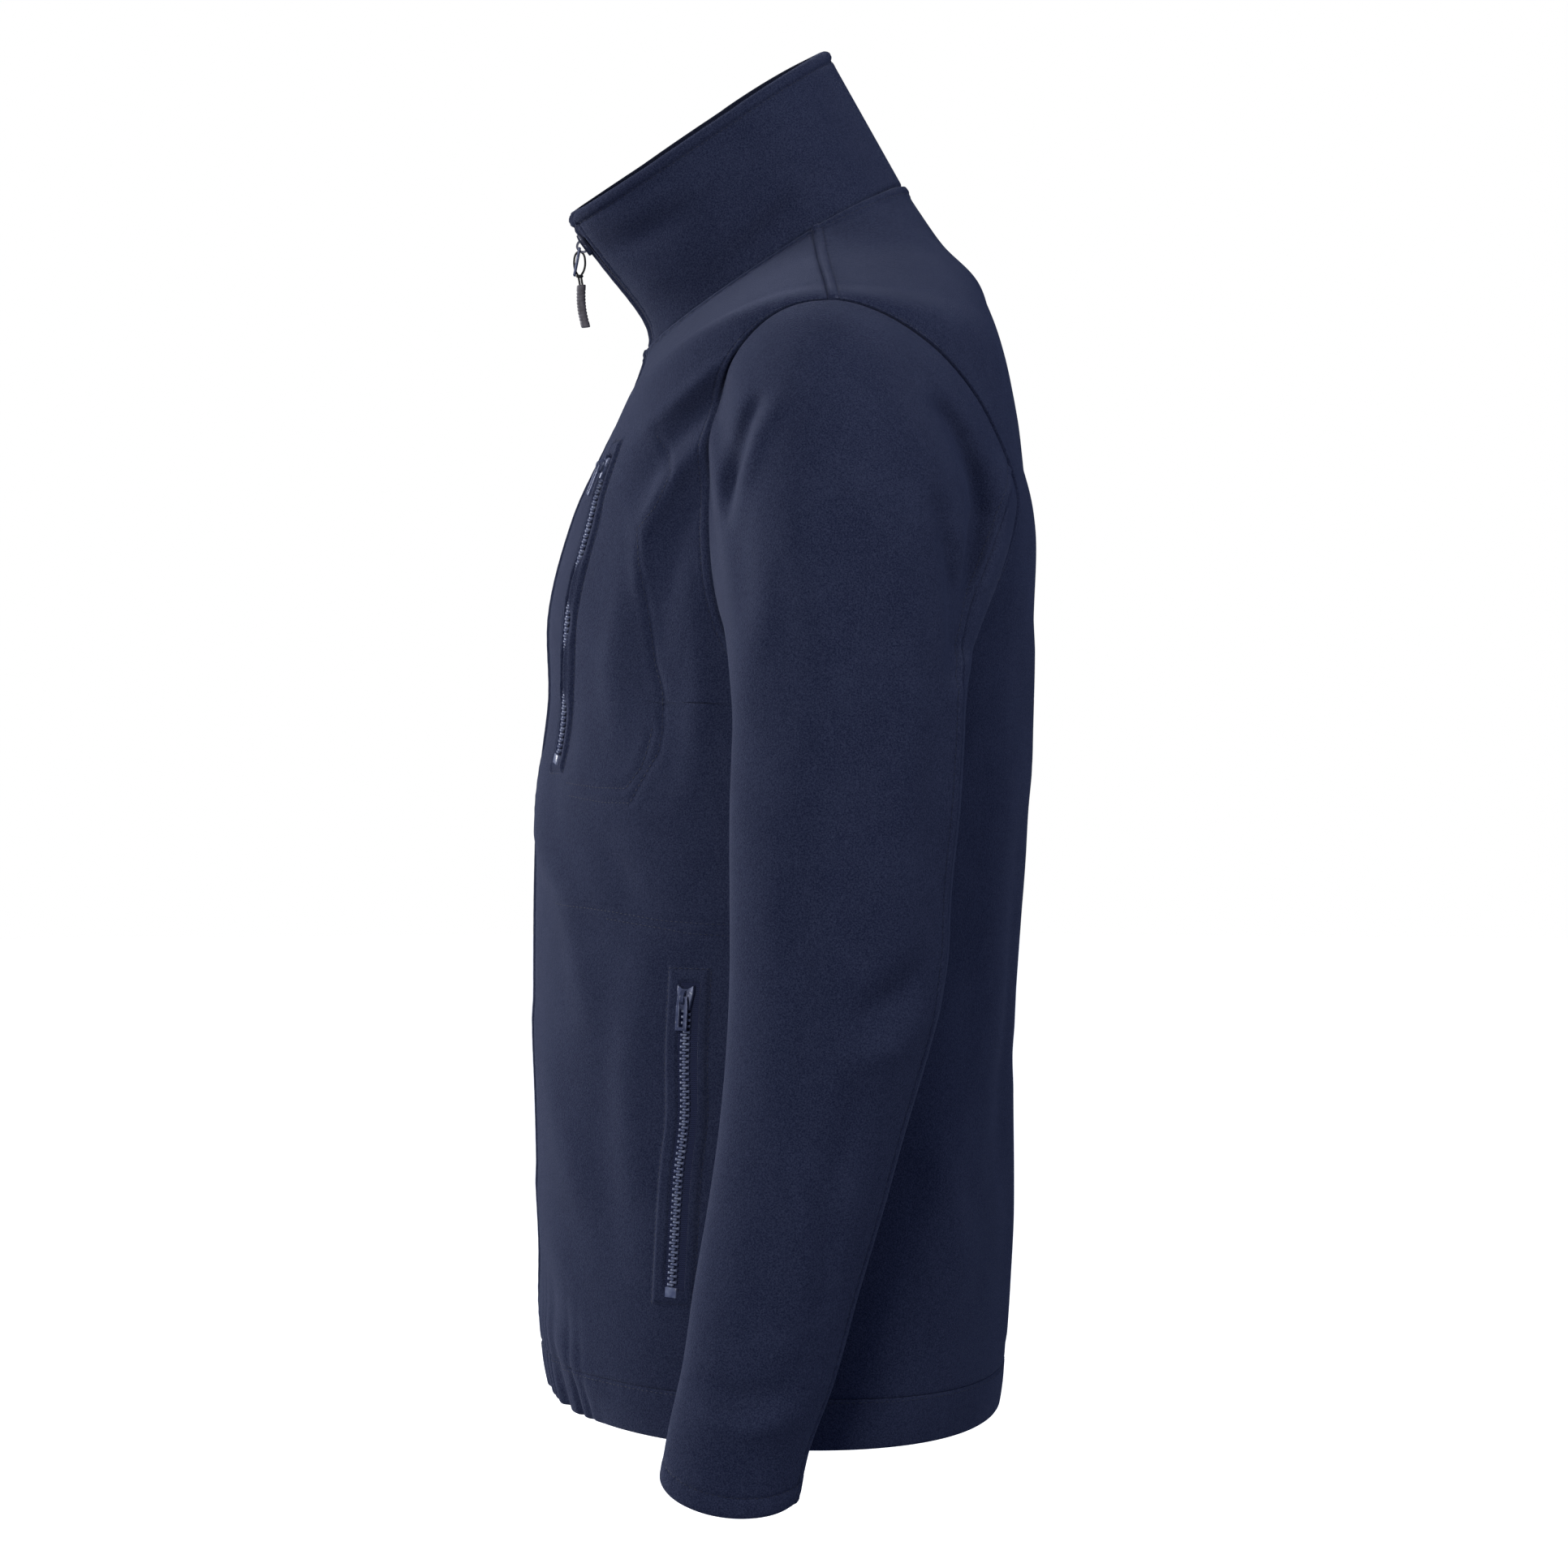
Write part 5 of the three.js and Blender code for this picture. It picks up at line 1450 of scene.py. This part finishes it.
def lift_of_slider(word, zip_line, grid, heights, side):
    """How far the CAD's slider stands above the cloth here, so that the whole zip stands as high."""
    row = nearest(heights, zip_line["topZ"] - SLIDER_DOWN)
    across = grid[row, MIDDLE + 2] - grid[row, MIDDLE - 2]
    up = grid[row + 2, MIDDLE] - grid[row - 2, MIDDLE]
    stand = np.dot(pull_axis(POCKET_PULLS[word], side) - grid[row, MIDDLE], unit(np.cross(across, up)))
    return float(stand) - AXIS_HEIGHT - TEETH_LIFT


def build_pocket(word, zip_line, lips, side=1):
    """A pocket's zip with its tape, teeth and the welt round it."""
    name = POCKET_NAMES[word]
    bottom, top = zip_line["bottomZ"], zip_line["topZ"]
    heights = np.linspace(bottom - 14, top + 14, 2 * round((top - bottom + 28) / 3.2) + 1)
    grid = lookers[side].grid(zip_line, heights, WELT_OFFSETS)
    lift = lift_of_slider(word, zip_line, grid, heights, side)
    across = np.broadcast_to(WELT_OFFSETS, grid.shape[:2])
    up = np.broadcast_to(heights[:, None] - bottom, grid.shape[:2])
    cover = chest_cover(up) if word == "chest" else 0 * up
    lips = (lips[0] + 5.4 * cover, lips[1] - 2.2 * cover)
    height = welt_height(across, up, top - bottom, lips, cover)
    welt_lift = height + lift * soft_step(11 - np.abs(across), 0, 5)
    strip(name + "_welt", grid, welt_lift, WELT_CLOTH, fleece, "fleece", None, side)
    middle = odd_rows(grid[(heights > bottom - 6) & (heights < top + 6)][:, TAPE_COLUMNS])
    strip(name + "_tape", middle, TAPE_LIFT + lift, TAPE, tape_weave, "zip_tape", f"zip_tape_{word}", side)
    outs = outward(grid)
    chain = (heights > bottom + 1) & (heights < top - SLIDER_DOWN - 5)
    path, path_outs = grid[chain][:, MIDDLE], outs[chain][:, MIDDLE]
    lay_teeth(name + "_teeth", path, path_outs, TEETH_LIFT + lift, teeth_plastic, f"zip_chain_{word}", side)
    for row in welt_rows(grid, outs, height, heights, zip_line, side):
        sew(*row)
    return grid, outs, heights, lift


def welt_rows(grid, outs, height, heights, zip_line, side):
    """The box of topstitching round a pocket's zip."""
    outer = lifted(grid, height + WELT_CLOTH + 0.05)
    low, high = nearest(heights, zip_line["bottomZ"] - 9), nearest(heights, zip_line["topZ"] + 8)
    first, last = nearest(WELT_OFFSETS, -POCKET_ROW), nearest(WELT_OFFSETS, POCKET_ROW)
    stretches = [
        (slice(low, high + 1), first),
        (slice(low, high + 1), last),
        (low, slice(first, last + 1)),
        (high, slice(first, last + 1)),
    ]
    for where in stretches:
        points, out = outer[where], outs[where]
        yield (mirror(points), mirror(out)) if side < 0 else (points, out)


pocket_grids = {
    "pocket_left": build_pocket("pocket_left", POCKET_ZIP, POCKET_LIPS),
    "pocket_right": build_pocket("pocket_right", POCKET_ZIP, POCKET_LIPS, -1),
    "chest": build_pocket("chest", CHEST_ZIP, CHEST_LIPS),
}

COLLAR_TIP_STEPS = 1  # of the centre front's path, above the zip
FRONT_TAPE_HALF = ZIP_OPENING + 2.4  # half the front tape's width


def front_path():
    """The centre front, from the hem's lower edge to the collar's upper edge."""
    grid, _ = half_panel(False, ZIP_OPENING, GRID, np.array([0.0]), 1)
    hem = panel_points(np.linspace(0.5, torso_far[HEM_SEAM], 12), np.zeros(12), False, ZIP_OPENING, 1)
    line = np.concatenate([hem[:-1], grid[:, 0], collar.grid[1:, 0]])
    far = gaps_along(line)
    at = np.arange(0, far[-1], 1.5)
    line = smoothed(read_along(far, line, at), 0, 8)
    run = unit(np.gradient(line, axis=0) * np.array([0, 1, 1]))
    out = np.stack([0 * at, -run[:, 2], run[:, 1]], -1)
    return line * np.array([0, 1, 1]), out


def build_front_zip():
    line, out = front_path()
    line, out = odd_rows(line[:-COLLAR_TIP_STEPS]), odd_rows(out[:-COLLAR_TIP_STEPS])
    sides = np.linspace(-1, 1, 15)
    across = np.array([FRONT_TAPE_HALF, 0, 0]) * sides[None, :, None]
    lift = PROUD_EDGE * (1 - sides) / 2 - 0.8 * FLEECE
    grid = line[:, None] + across + out[:, None] * lift[None, :, None]
    strip("front_zip_tape", grid, 0.0, TAPE, tape_weave, "zip_tape", "zip_tape_front", 1)
    closed = line[:, 2] < FRONT_SLIDER_Z - 6
    # The front chain takes the teeth plastic that carries painted shade.
    lay_teeth("front_zip_teeth", line[closed], out[closed], FRONT_TEETH_LIFT, front_teeth_with_painted_shade, "zip_chain_front")
    parted = line[:, 2] > FRONT_SLIDER_Z + 4
    top, top_out = line[parted], out[parted]
    lay_teeth("front_zip_top_teeth", top, top_out, FRONT_TEETH_LIFT - 0.4, front_teeth_with_painted_shade, None, spread_by=1.6)


build_front_zip()

# Topstitching across the fronts


def surface_of(piece):
    """A piece's surface, to be met by straight looks."""
    mesh = piece.data
    return BVHTree.FromPolygons([v.co[:] for v in mesh.vertices], [p.vertices[:] for p in mesh.polygons])


def sew_across(piece, lines, side):
    """Rows drawn in the side view, laid on the front."""
    tree = surface_of(piece)
    for line in lines:
        line = np.array(line, float)
        far = gaps_along(line)
        at = np.arange(0, far[-1], 2.0)
        starts = [Vector((side * 600, y, z)) * MM for y, z in read_along(far, line, at)]
        found = [tree.ray_cast(start, Vector((-side, 0, 0))) for start in starts]
        found = [hit for hit in found if hit[0] is not None]
        points = np.array([hit[0][:] for hit in found]) / MM
        outs = np.array([hit[1][:] for hit in found])
        sew(points, unit(smoothed(outs, 0, 3)))


sew_across(fronts[1][1], WAIST_ROWS + CHEST_BAG_ROWS, 1)
sew_across(fronts[-1][1], WAIST_ROWS, -1)


def build_stitches():
    """Every row of stitches, as one piece."""
    origins, frames = [], []
    for points, outs in sewn_rows:
        places, run, out = even_places(points, outs, STITCH_PITCH)
        origins.append(places + out * 0.05)
        frames.append(frames_of(run, out))
    # The stitches take the thread that is darkened with painted groove shade.
    repeat_along("topstitching", stitch, np.concatenate(origins), np.concatenate(frames), thread_with_painted_shade, "fleece")


build_stitches()

# Sliders, pulls and stops


def model_bridge(foot):
    """The half ring over the slider that the tab hangs on, standing on a foot's height."""
    bpy.ops.object.select_all(action="DESELECT")
    bpy.ops.mesh.primitive_plane_add(size=1, location=(0, -3.4 * MM, foot * MM))
    bridge = bpy.context.object
    bridge.scale = (2.4 * MM, BRIDGE["bar"] * MM, 1)
    bpy.ops.object.transform_apply(location=True, rotation=False, scale=True)
    edit(None)
    bpy.ops.mesh.spin(steps=10, angle=math.pi, center=(0, 0, foot * MM), axis=(1, 0, 0))
    done()
    edit(None)
    bpy.ops.mesh.normals_make_consistent(inside=False)
    stretch = BRIDGE["height"] / 4.0
    bpy.ops.transform.resize(value=(1, 1, stretch), center_override=(0, 0, foot * MM))
    return done()


def model_slider():
    """The slider, from the middle of its lower face: x across the zip, y down it and z out."""
    length, thick = SLIDER_SIZE[1:]
    start_block("slider", SLIDER_SIZE, (0, 0, thick / 2))
    slice_at(1, -2.5)
    slice_at(1, 1.5)
    slice_at(0, -1.6)
    slice_at(0, 1.6)
    scale_at(lambda v: v.y > length / 2 - 0.1, (0.64, 1, 1))
    scale_at(lambda v: abs(v.y - 1.5) < 0.1, (0.82, 1, 1))
    shift_at(lambda v: v.y < -length / 2 + 0.1 and abs(v.x) < 2, (0, 2.2, 0))
    shift_at(lambda v: v.z > thick - 0.1 and abs(v.x) > 2, (0, 0, -0.5))
    body = finish_with("BEVEL", width=0.45 * MM, segments=2, limit_method="ANGLE")
    bridge = model_bridge(thick - 0.4)
    body.select_set(True)
    bridge.select_set(True)
    bpy.context.view_layer.objects.active = body
    bpy.ops.object.join()
    return body


def model_tab(length, width=6.8, window=True):
    """A pull tab from the axis that it hangs on: x across it, y down it and z across its face."""
    bpy.ops.object.select_all(action="DESELECT")
    bpy.ops.mesh.primitive_plane_add(size=1, location=(0, (length / 2 - 0.65) * MM, 0))
    tab = bpy.context.object
    tab.scale = (width * MM, length * MM, 1)
    bpy.ops.object.transform_apply(location=True, rotation=False, scale=True)
    end = length - 0.65
    eye = (0.65, 4.6)
    opening = (end - 6.0, end - 1.8) if window else ()
    for place in eye + opening:
        slice_at(1, place)
    for place in (-1.7, -1.4, 1.4, 1.7):
        slice_at(0, place)
    edit(lambda v: False)
    done()
    for face in tab.data.polygons:
        x, y = face.center.x / MM, face.center.y / MM
        in_eye = abs(x) < 1.69 and eye[0] < y < eye[1]
        in_window = window and abs(x) < 1.39 and opening[0] < y < opening[1]
        face.select = in_eye or in_window
    bpy.ops.object.mode_set(mode="EDIT")
    bpy.ops.mesh.select_mode(type="FACE")
    bpy.ops.mesh.delete(type="FACE")
    bpy.ops.mesh.select_mode(type="VERT")
    done()
    scale_at(lambda v: v.y < 0.7, (0.86, 1, 1))
    finish_with("SOLIDIFY", thickness=1.3 * MM, offset=0)
    return finish_with("BEVEL", width=0.32 * MM, segments=2, limit_method="ANGLE")


def model_grip():
    """A ribbed rubber grip, hanging down y from its top."""
    bpy.ops.object.select_all(action="DESELECT")
    bpy.ops.mesh.primitive_cylinder_add(vertices=20, radius=2.9 * MM, depth=25 * MM, location=(0, 0, 0))
    places = np.linspace(-11.9, 11.9, 38)
    for place in places:
        slice_at(2, place)
    for number, place in enumerate(places):
        waist = 0.88 if number % 3 == 2 and 3 < number < 34 else 1.0
        scale_at(lambda v: abs(v.z - place) < 0.1, (waist * 0.84, waist * 0.92, 1))
        shift_at(lambda v: abs(v.z - place) < 0.1, (0, 1.2 * math.cos(place / 12.5 * math.pi / 2), 0))
    scale_at(lambda v: abs(v.z) > 12.3, (0.78, 0.84, 1))
    edit(None)
    bpy.ops.transform.rotate(value=-math.pi / 2, orient_axis="X", center_override=(0, 0, 0))
    bpy.ops.transform.translate(value=(0, 34 * MM, 0))
    done()
    return finish_with("BEVEL", width=0.25 * MM, segments=2, limit_method="ANGLE")


def set_down(part, name, origin, x_way, y_way, z_way, finish, slot, body, *nodes):
    """A copy of a modelled part at its place, as a piece of its own."""
    frames = np.array([[x_way, y_way, z_way]], float)
    piece = repeat_along(name, part, np.array([origin], float), frames, finish, slot, body)
    if np.linalg.det(frames[0]) < 0:
        recalculate(piece)
    bpy.ops.object.select_all(action="DESELECT")
    bpy.context.view_layer.objects.active = piece
    piece.select_set(True)
    bpy.ops.object.shade_smooth_by_angle(angle=math.radians(40))
    if nodes:
        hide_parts(*nodes)
    return piece


slider = model_slider()
pocket_tab = model_tab(18.5)
front_tab = model_tab(17.0, window=False)
grip = model_grip()
stop = start_block("stop", (7.0, 5.6, 2.6), (0, 0, 1.3))
stop = finish_with("BEVEL", width=0.5 * MM, segments=2, limit_method="ANGLE")


def build_pocket_slider(word):
    """Slider, tab and stop of a pocket's zip, at the CAD's axis."""
    side = -1 if word == "pocket_right" else 1
    zip_line = CHEST_ZIP if word == "chest" else POCKET_ZIP
    name, pull = POCKET_NAMES[word], POCKET_PULLS[word]
    grid, outs, heights, lift = pocket_grids[word]
    row = nearest(heights, zip_line["topZ"] - SLIDER_DOWN)
    down = unit(grid[row - 3, MIDDLE] - grid[row + 3, MIDDLE])
    out = unit(np.cross(down, np.cross(outs[row, MIDDLE], down)))
    ways = [unit(np.cross(down, out)), down, out]
    axis = pull_axis(pull, side)
    seat = axis - out * AXIS_HEIGHT
    low = nearest(heights, zip_line["bottomZ"] - 1.5)
    foot_down, foot_out = unit(grid[low - 2, MIDDLE] - grid[low + 2, MIDDLE]), outs[low, MIDDLE]
    foot = grid[low, MIDDLE] + foot_out * (TAPE_LIFT + TAPE + lift)
    foot_ways = [unit(np.cross(foot_down, foot_out)), foot_down, foot_out]
    if side < 0:
        seat, axis, foot = mirror(seat), mirror(axis), mirror(foot)
        ways, foot_ways = mirror(np.array(ways)), mirror(np.array(foot_ways))
    set_down(slider, name + "_slider", seat, *ways, enamel, "slider_metal", "jacket", f"slider_{word}")
    set_down(pocket_tab, name + "_pull", axis, *ways, enamel, "slider_metal", pull, f"pull_{word}")
    set_down(stop, name + "_stop", foot, *foot_ways, teeth_plastic, "zip_teeth", "jacket")


for word in pocket_grids:
    build_pocket_slider(word)

TAB_LEAN = math.radians(-11)  # forward at its lower end
GRIP_LEAN = math.radians(6.2)  # back at its lower end
GRIP_TOP_DOWN = 21.5
GRIP_TOP_BACK = 1.0


def hanging(lean):
    """Across, down and outward ways of a part that hangs from the front slider with a lean to the back."""
    down = np.array([0, math.sin(lean), -math.cos(lean)])
    return np.array([-1.0, 0, 0]), down, np.array([0, -math.cos(lean), -math.sin(lean)])


def build_front_pull():
    """The front slider with its tab, cord and grip."""
    line, out = front_path()
    row = nearest(line[:, 2], FRONT_SLIDER_Z)
    axis = pull_axis("front_pull")
    down = unit(line[row - 3] - line[row + 3])
    slider_out = unit(np.cross(down, np.cross(out[row], down)))
    ways = unit(np.cross(down, slider_out)), down, slider_out
    seat = axis - slider_out * AXIS_HEIGHT
    top = axis + np.array([0, GRIP_TOP_BACK - GRIP_TOP_DOWN * math.sin(GRIP_LEAN), 0])
    tab_ways, grip_ways = hanging(TAB_LEAN), hanging(GRIP_LEAN)
    # The front slider takes the enamel that carries painted shade.
    set_down(slider, "front_slider", seat, *ways, front_enamel_with_painted_shade, "slider_metal", "jacket", "slider_front")
    set_down(front_tab, "front_pull", axis, *tab_ways, enamel, "slider_metal", "front_pull", "pull_front")
    set_down(grip, "front_grip", top, *grip_ways, rubber, "grip_rubber", "front_pull", "pull_grip_front")
    build_cord(axis)


# The cord's route from the grip up through the tab's eye and back: how far below the axis, and how far out
CORD_ROUTE = [
    (22.4, -0.3), (20.4, 0.0), (18.4, 0.36), (15.8, 1.0), (13.5, 2.2), (10.5, 3.1), (7, 3.2), (4, 2.6),
    (2.3, 1.4), (1.75, 0), (2.3, -1.4), (4, -2.6), (7, -3.2), (10.5, -3.1), (13.5, -2.2), (15.8, -1.0),
    (18.4, -1.2), (20.4, -1.5), (22.4, -1.8),
]
CORD_DIAMETER = 1.3
KNOT_DOWN = 16.2  # below the axis
KNOT_RING, KNOT_CORD = 1.35, 0.85  # radii of the knot's ring and of its cord


def build_knot(axis):
    bpy.ops.object.select_all(action="DESELECT")
    bpy.ops.mesh.primitive_torus_add(
        major_segments=24,
        minor_segments=12,
        major_radius=KNOT_RING * MM,
        minor_radius=KNOT_CORD * MM,
        location=[axis[0] * MM, axis[1] * MM, (axis[2] - KNOT_DOWN) * MM],
    )
    knot = bpy.context.object
    knot.name = "pull_knot"
    bpy.ops.object.transform_apply(location=True, rotation=True, scale=True)
    knot.data.polygons.foreach_set("use_smooth", [True] * len(knot.data.polygons))
    knot.data.materials.append(cord_weave)
    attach(knot, "front_pull")
    return knot


def build_cord(axis):
    """The loop of cord from the tab's eye to the grip, with its knot."""
    places = [Vector((axis[0], axis[1] - out, axis[2] - down)) * MM for down, out in CORD_ROUTE]
    curve = bpy.data.curves.new("pull_cord", "CURVE")
    curve.dimensions = "3D"
    curve.bevel_depth = CORD_DIAMETER / 2 * MM
    curve.bevel_resolution = 3
    curve.use_fill_caps = True
    curve.resolution_u = 6
    spline = curve.splines.new("BEZIER")
    spline.bezier_points.add(len(places) - 1)
    for point, place in zip(spline.bezier_points, places):
        point.co = place
        point.handle_left_type = point.handle_right_type = "AUTO"
    curve.materials.append(cord_weave)
    cord = bpy.data.objects.new("pull_cord", curve)
    bpy.context.scene.collection.objects.link(cord)
    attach(cord, "front_pull")
    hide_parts("pull_cord_front")
    knot = build_knot(axis)
    length = sum(math.dist(p, q) for p, q in zip(CORD_ROUTE, CORD_ROUTE[1:])) * MM
    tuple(places[0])


build_front_pull()
for part in (tooth, stitch, slider, pocket_tab, front_tab, grip, stop):
    remove(part)

# Light and floor


def area_light(name, place, target, size, watts, colour=(1, 1, 1)):
    light = bpy.data.lights.new(name, "AREA")
    light.shape = "DISK"
    light.size = size
    light.energy = watts
    light.color = colour
    holder = bpy.data.objects.new(name, light)
    holder.location = place
    bpy.context.scene.collection.objects.link(holder)
    look_at(holder, target)


def light_studio():
    """A key light beside the camera, a front light and a small rim light, in a pale world."""
    area_light("key", (2.8, -0.9, 0.4), (0.1, 0, -0.25), 1.0, 42, (1, 0.97, 0.88))
    area_light("front", (-1.1, -2.5, 0.4), (0, 0, -0.25), 1.2, 56)
    area_light("rim", (0.45, 0.85, 0.55), (0.1, 0.12, -0.08), 0.3, 4.5)
    world = bpy.data.worlds.new("studio")
    bpy.context.scene.world = world
    world.use_nodes = True
    tree = world.node_tree
    tree.nodes.clear()
    output = tree.nodes.new("ShaderNodeOutputWorld")
    mix = tree.nodes.new("ShaderNodeMixShader")
    rays = tree.nodes.new("ShaderNodeLightPath")
    seen = tree.nodes.new("ShaderNodeBackground")
    seen.inputs["Color"].default_value = (1, 1, 1, 1)
    seen.inputs["Strength"].default_value = 1.0
    soft = tree.nodes.new("ShaderNodeBackground")
    soft.inputs["Color"].default_value = (0.5, 0.62, 1, 1)
    soft.inputs["Strength"].default_value = 0.24
    tree.links.new(rays.outputs["Is Camera Ray"], mix.inputs[0])
    tree.links.new(soft.outputs[0], mix.inputs[1])
    tree.links.new(seen.outputs[0], mix.inputs[2])
    tree.links.new(mix.outputs[0], output.inputs["Surface"])
    bpy.context.scene.view_settings.view_transform = "Standard"


FLOOR_Z = -0.86


def lay_floor():
    bpy.ops.object.select_all(action="DESELECT")
    bpy.ops.mesh.primitive_circle_add(vertices=96, radius=9, fill_type="NGON", location=(0, 0, FLOOR_Z))
    floor = bpy.context.object
    floor.name = "floor"
    finish = Finish("pale_floor")
    dust = finish.noise(3.0, 2.0)
    pale = finish.ramp(dust, (0.3, (0.93, 0.93, 0.94)), (0.7, (0.96, 0.96, 0.96)))
    finish.give(Base_Color=pale, Roughness=0.9)
    finish.give(Emission_Color=(1, 1, 1, 1), Emission_Strength=0.9)
    floor.data.materials.append(finish.material)
    floor.visible_diffuse = False
    floor.visible_glossy = False


light_studio()
lay_floor()

bpy.context.view_layer.update()
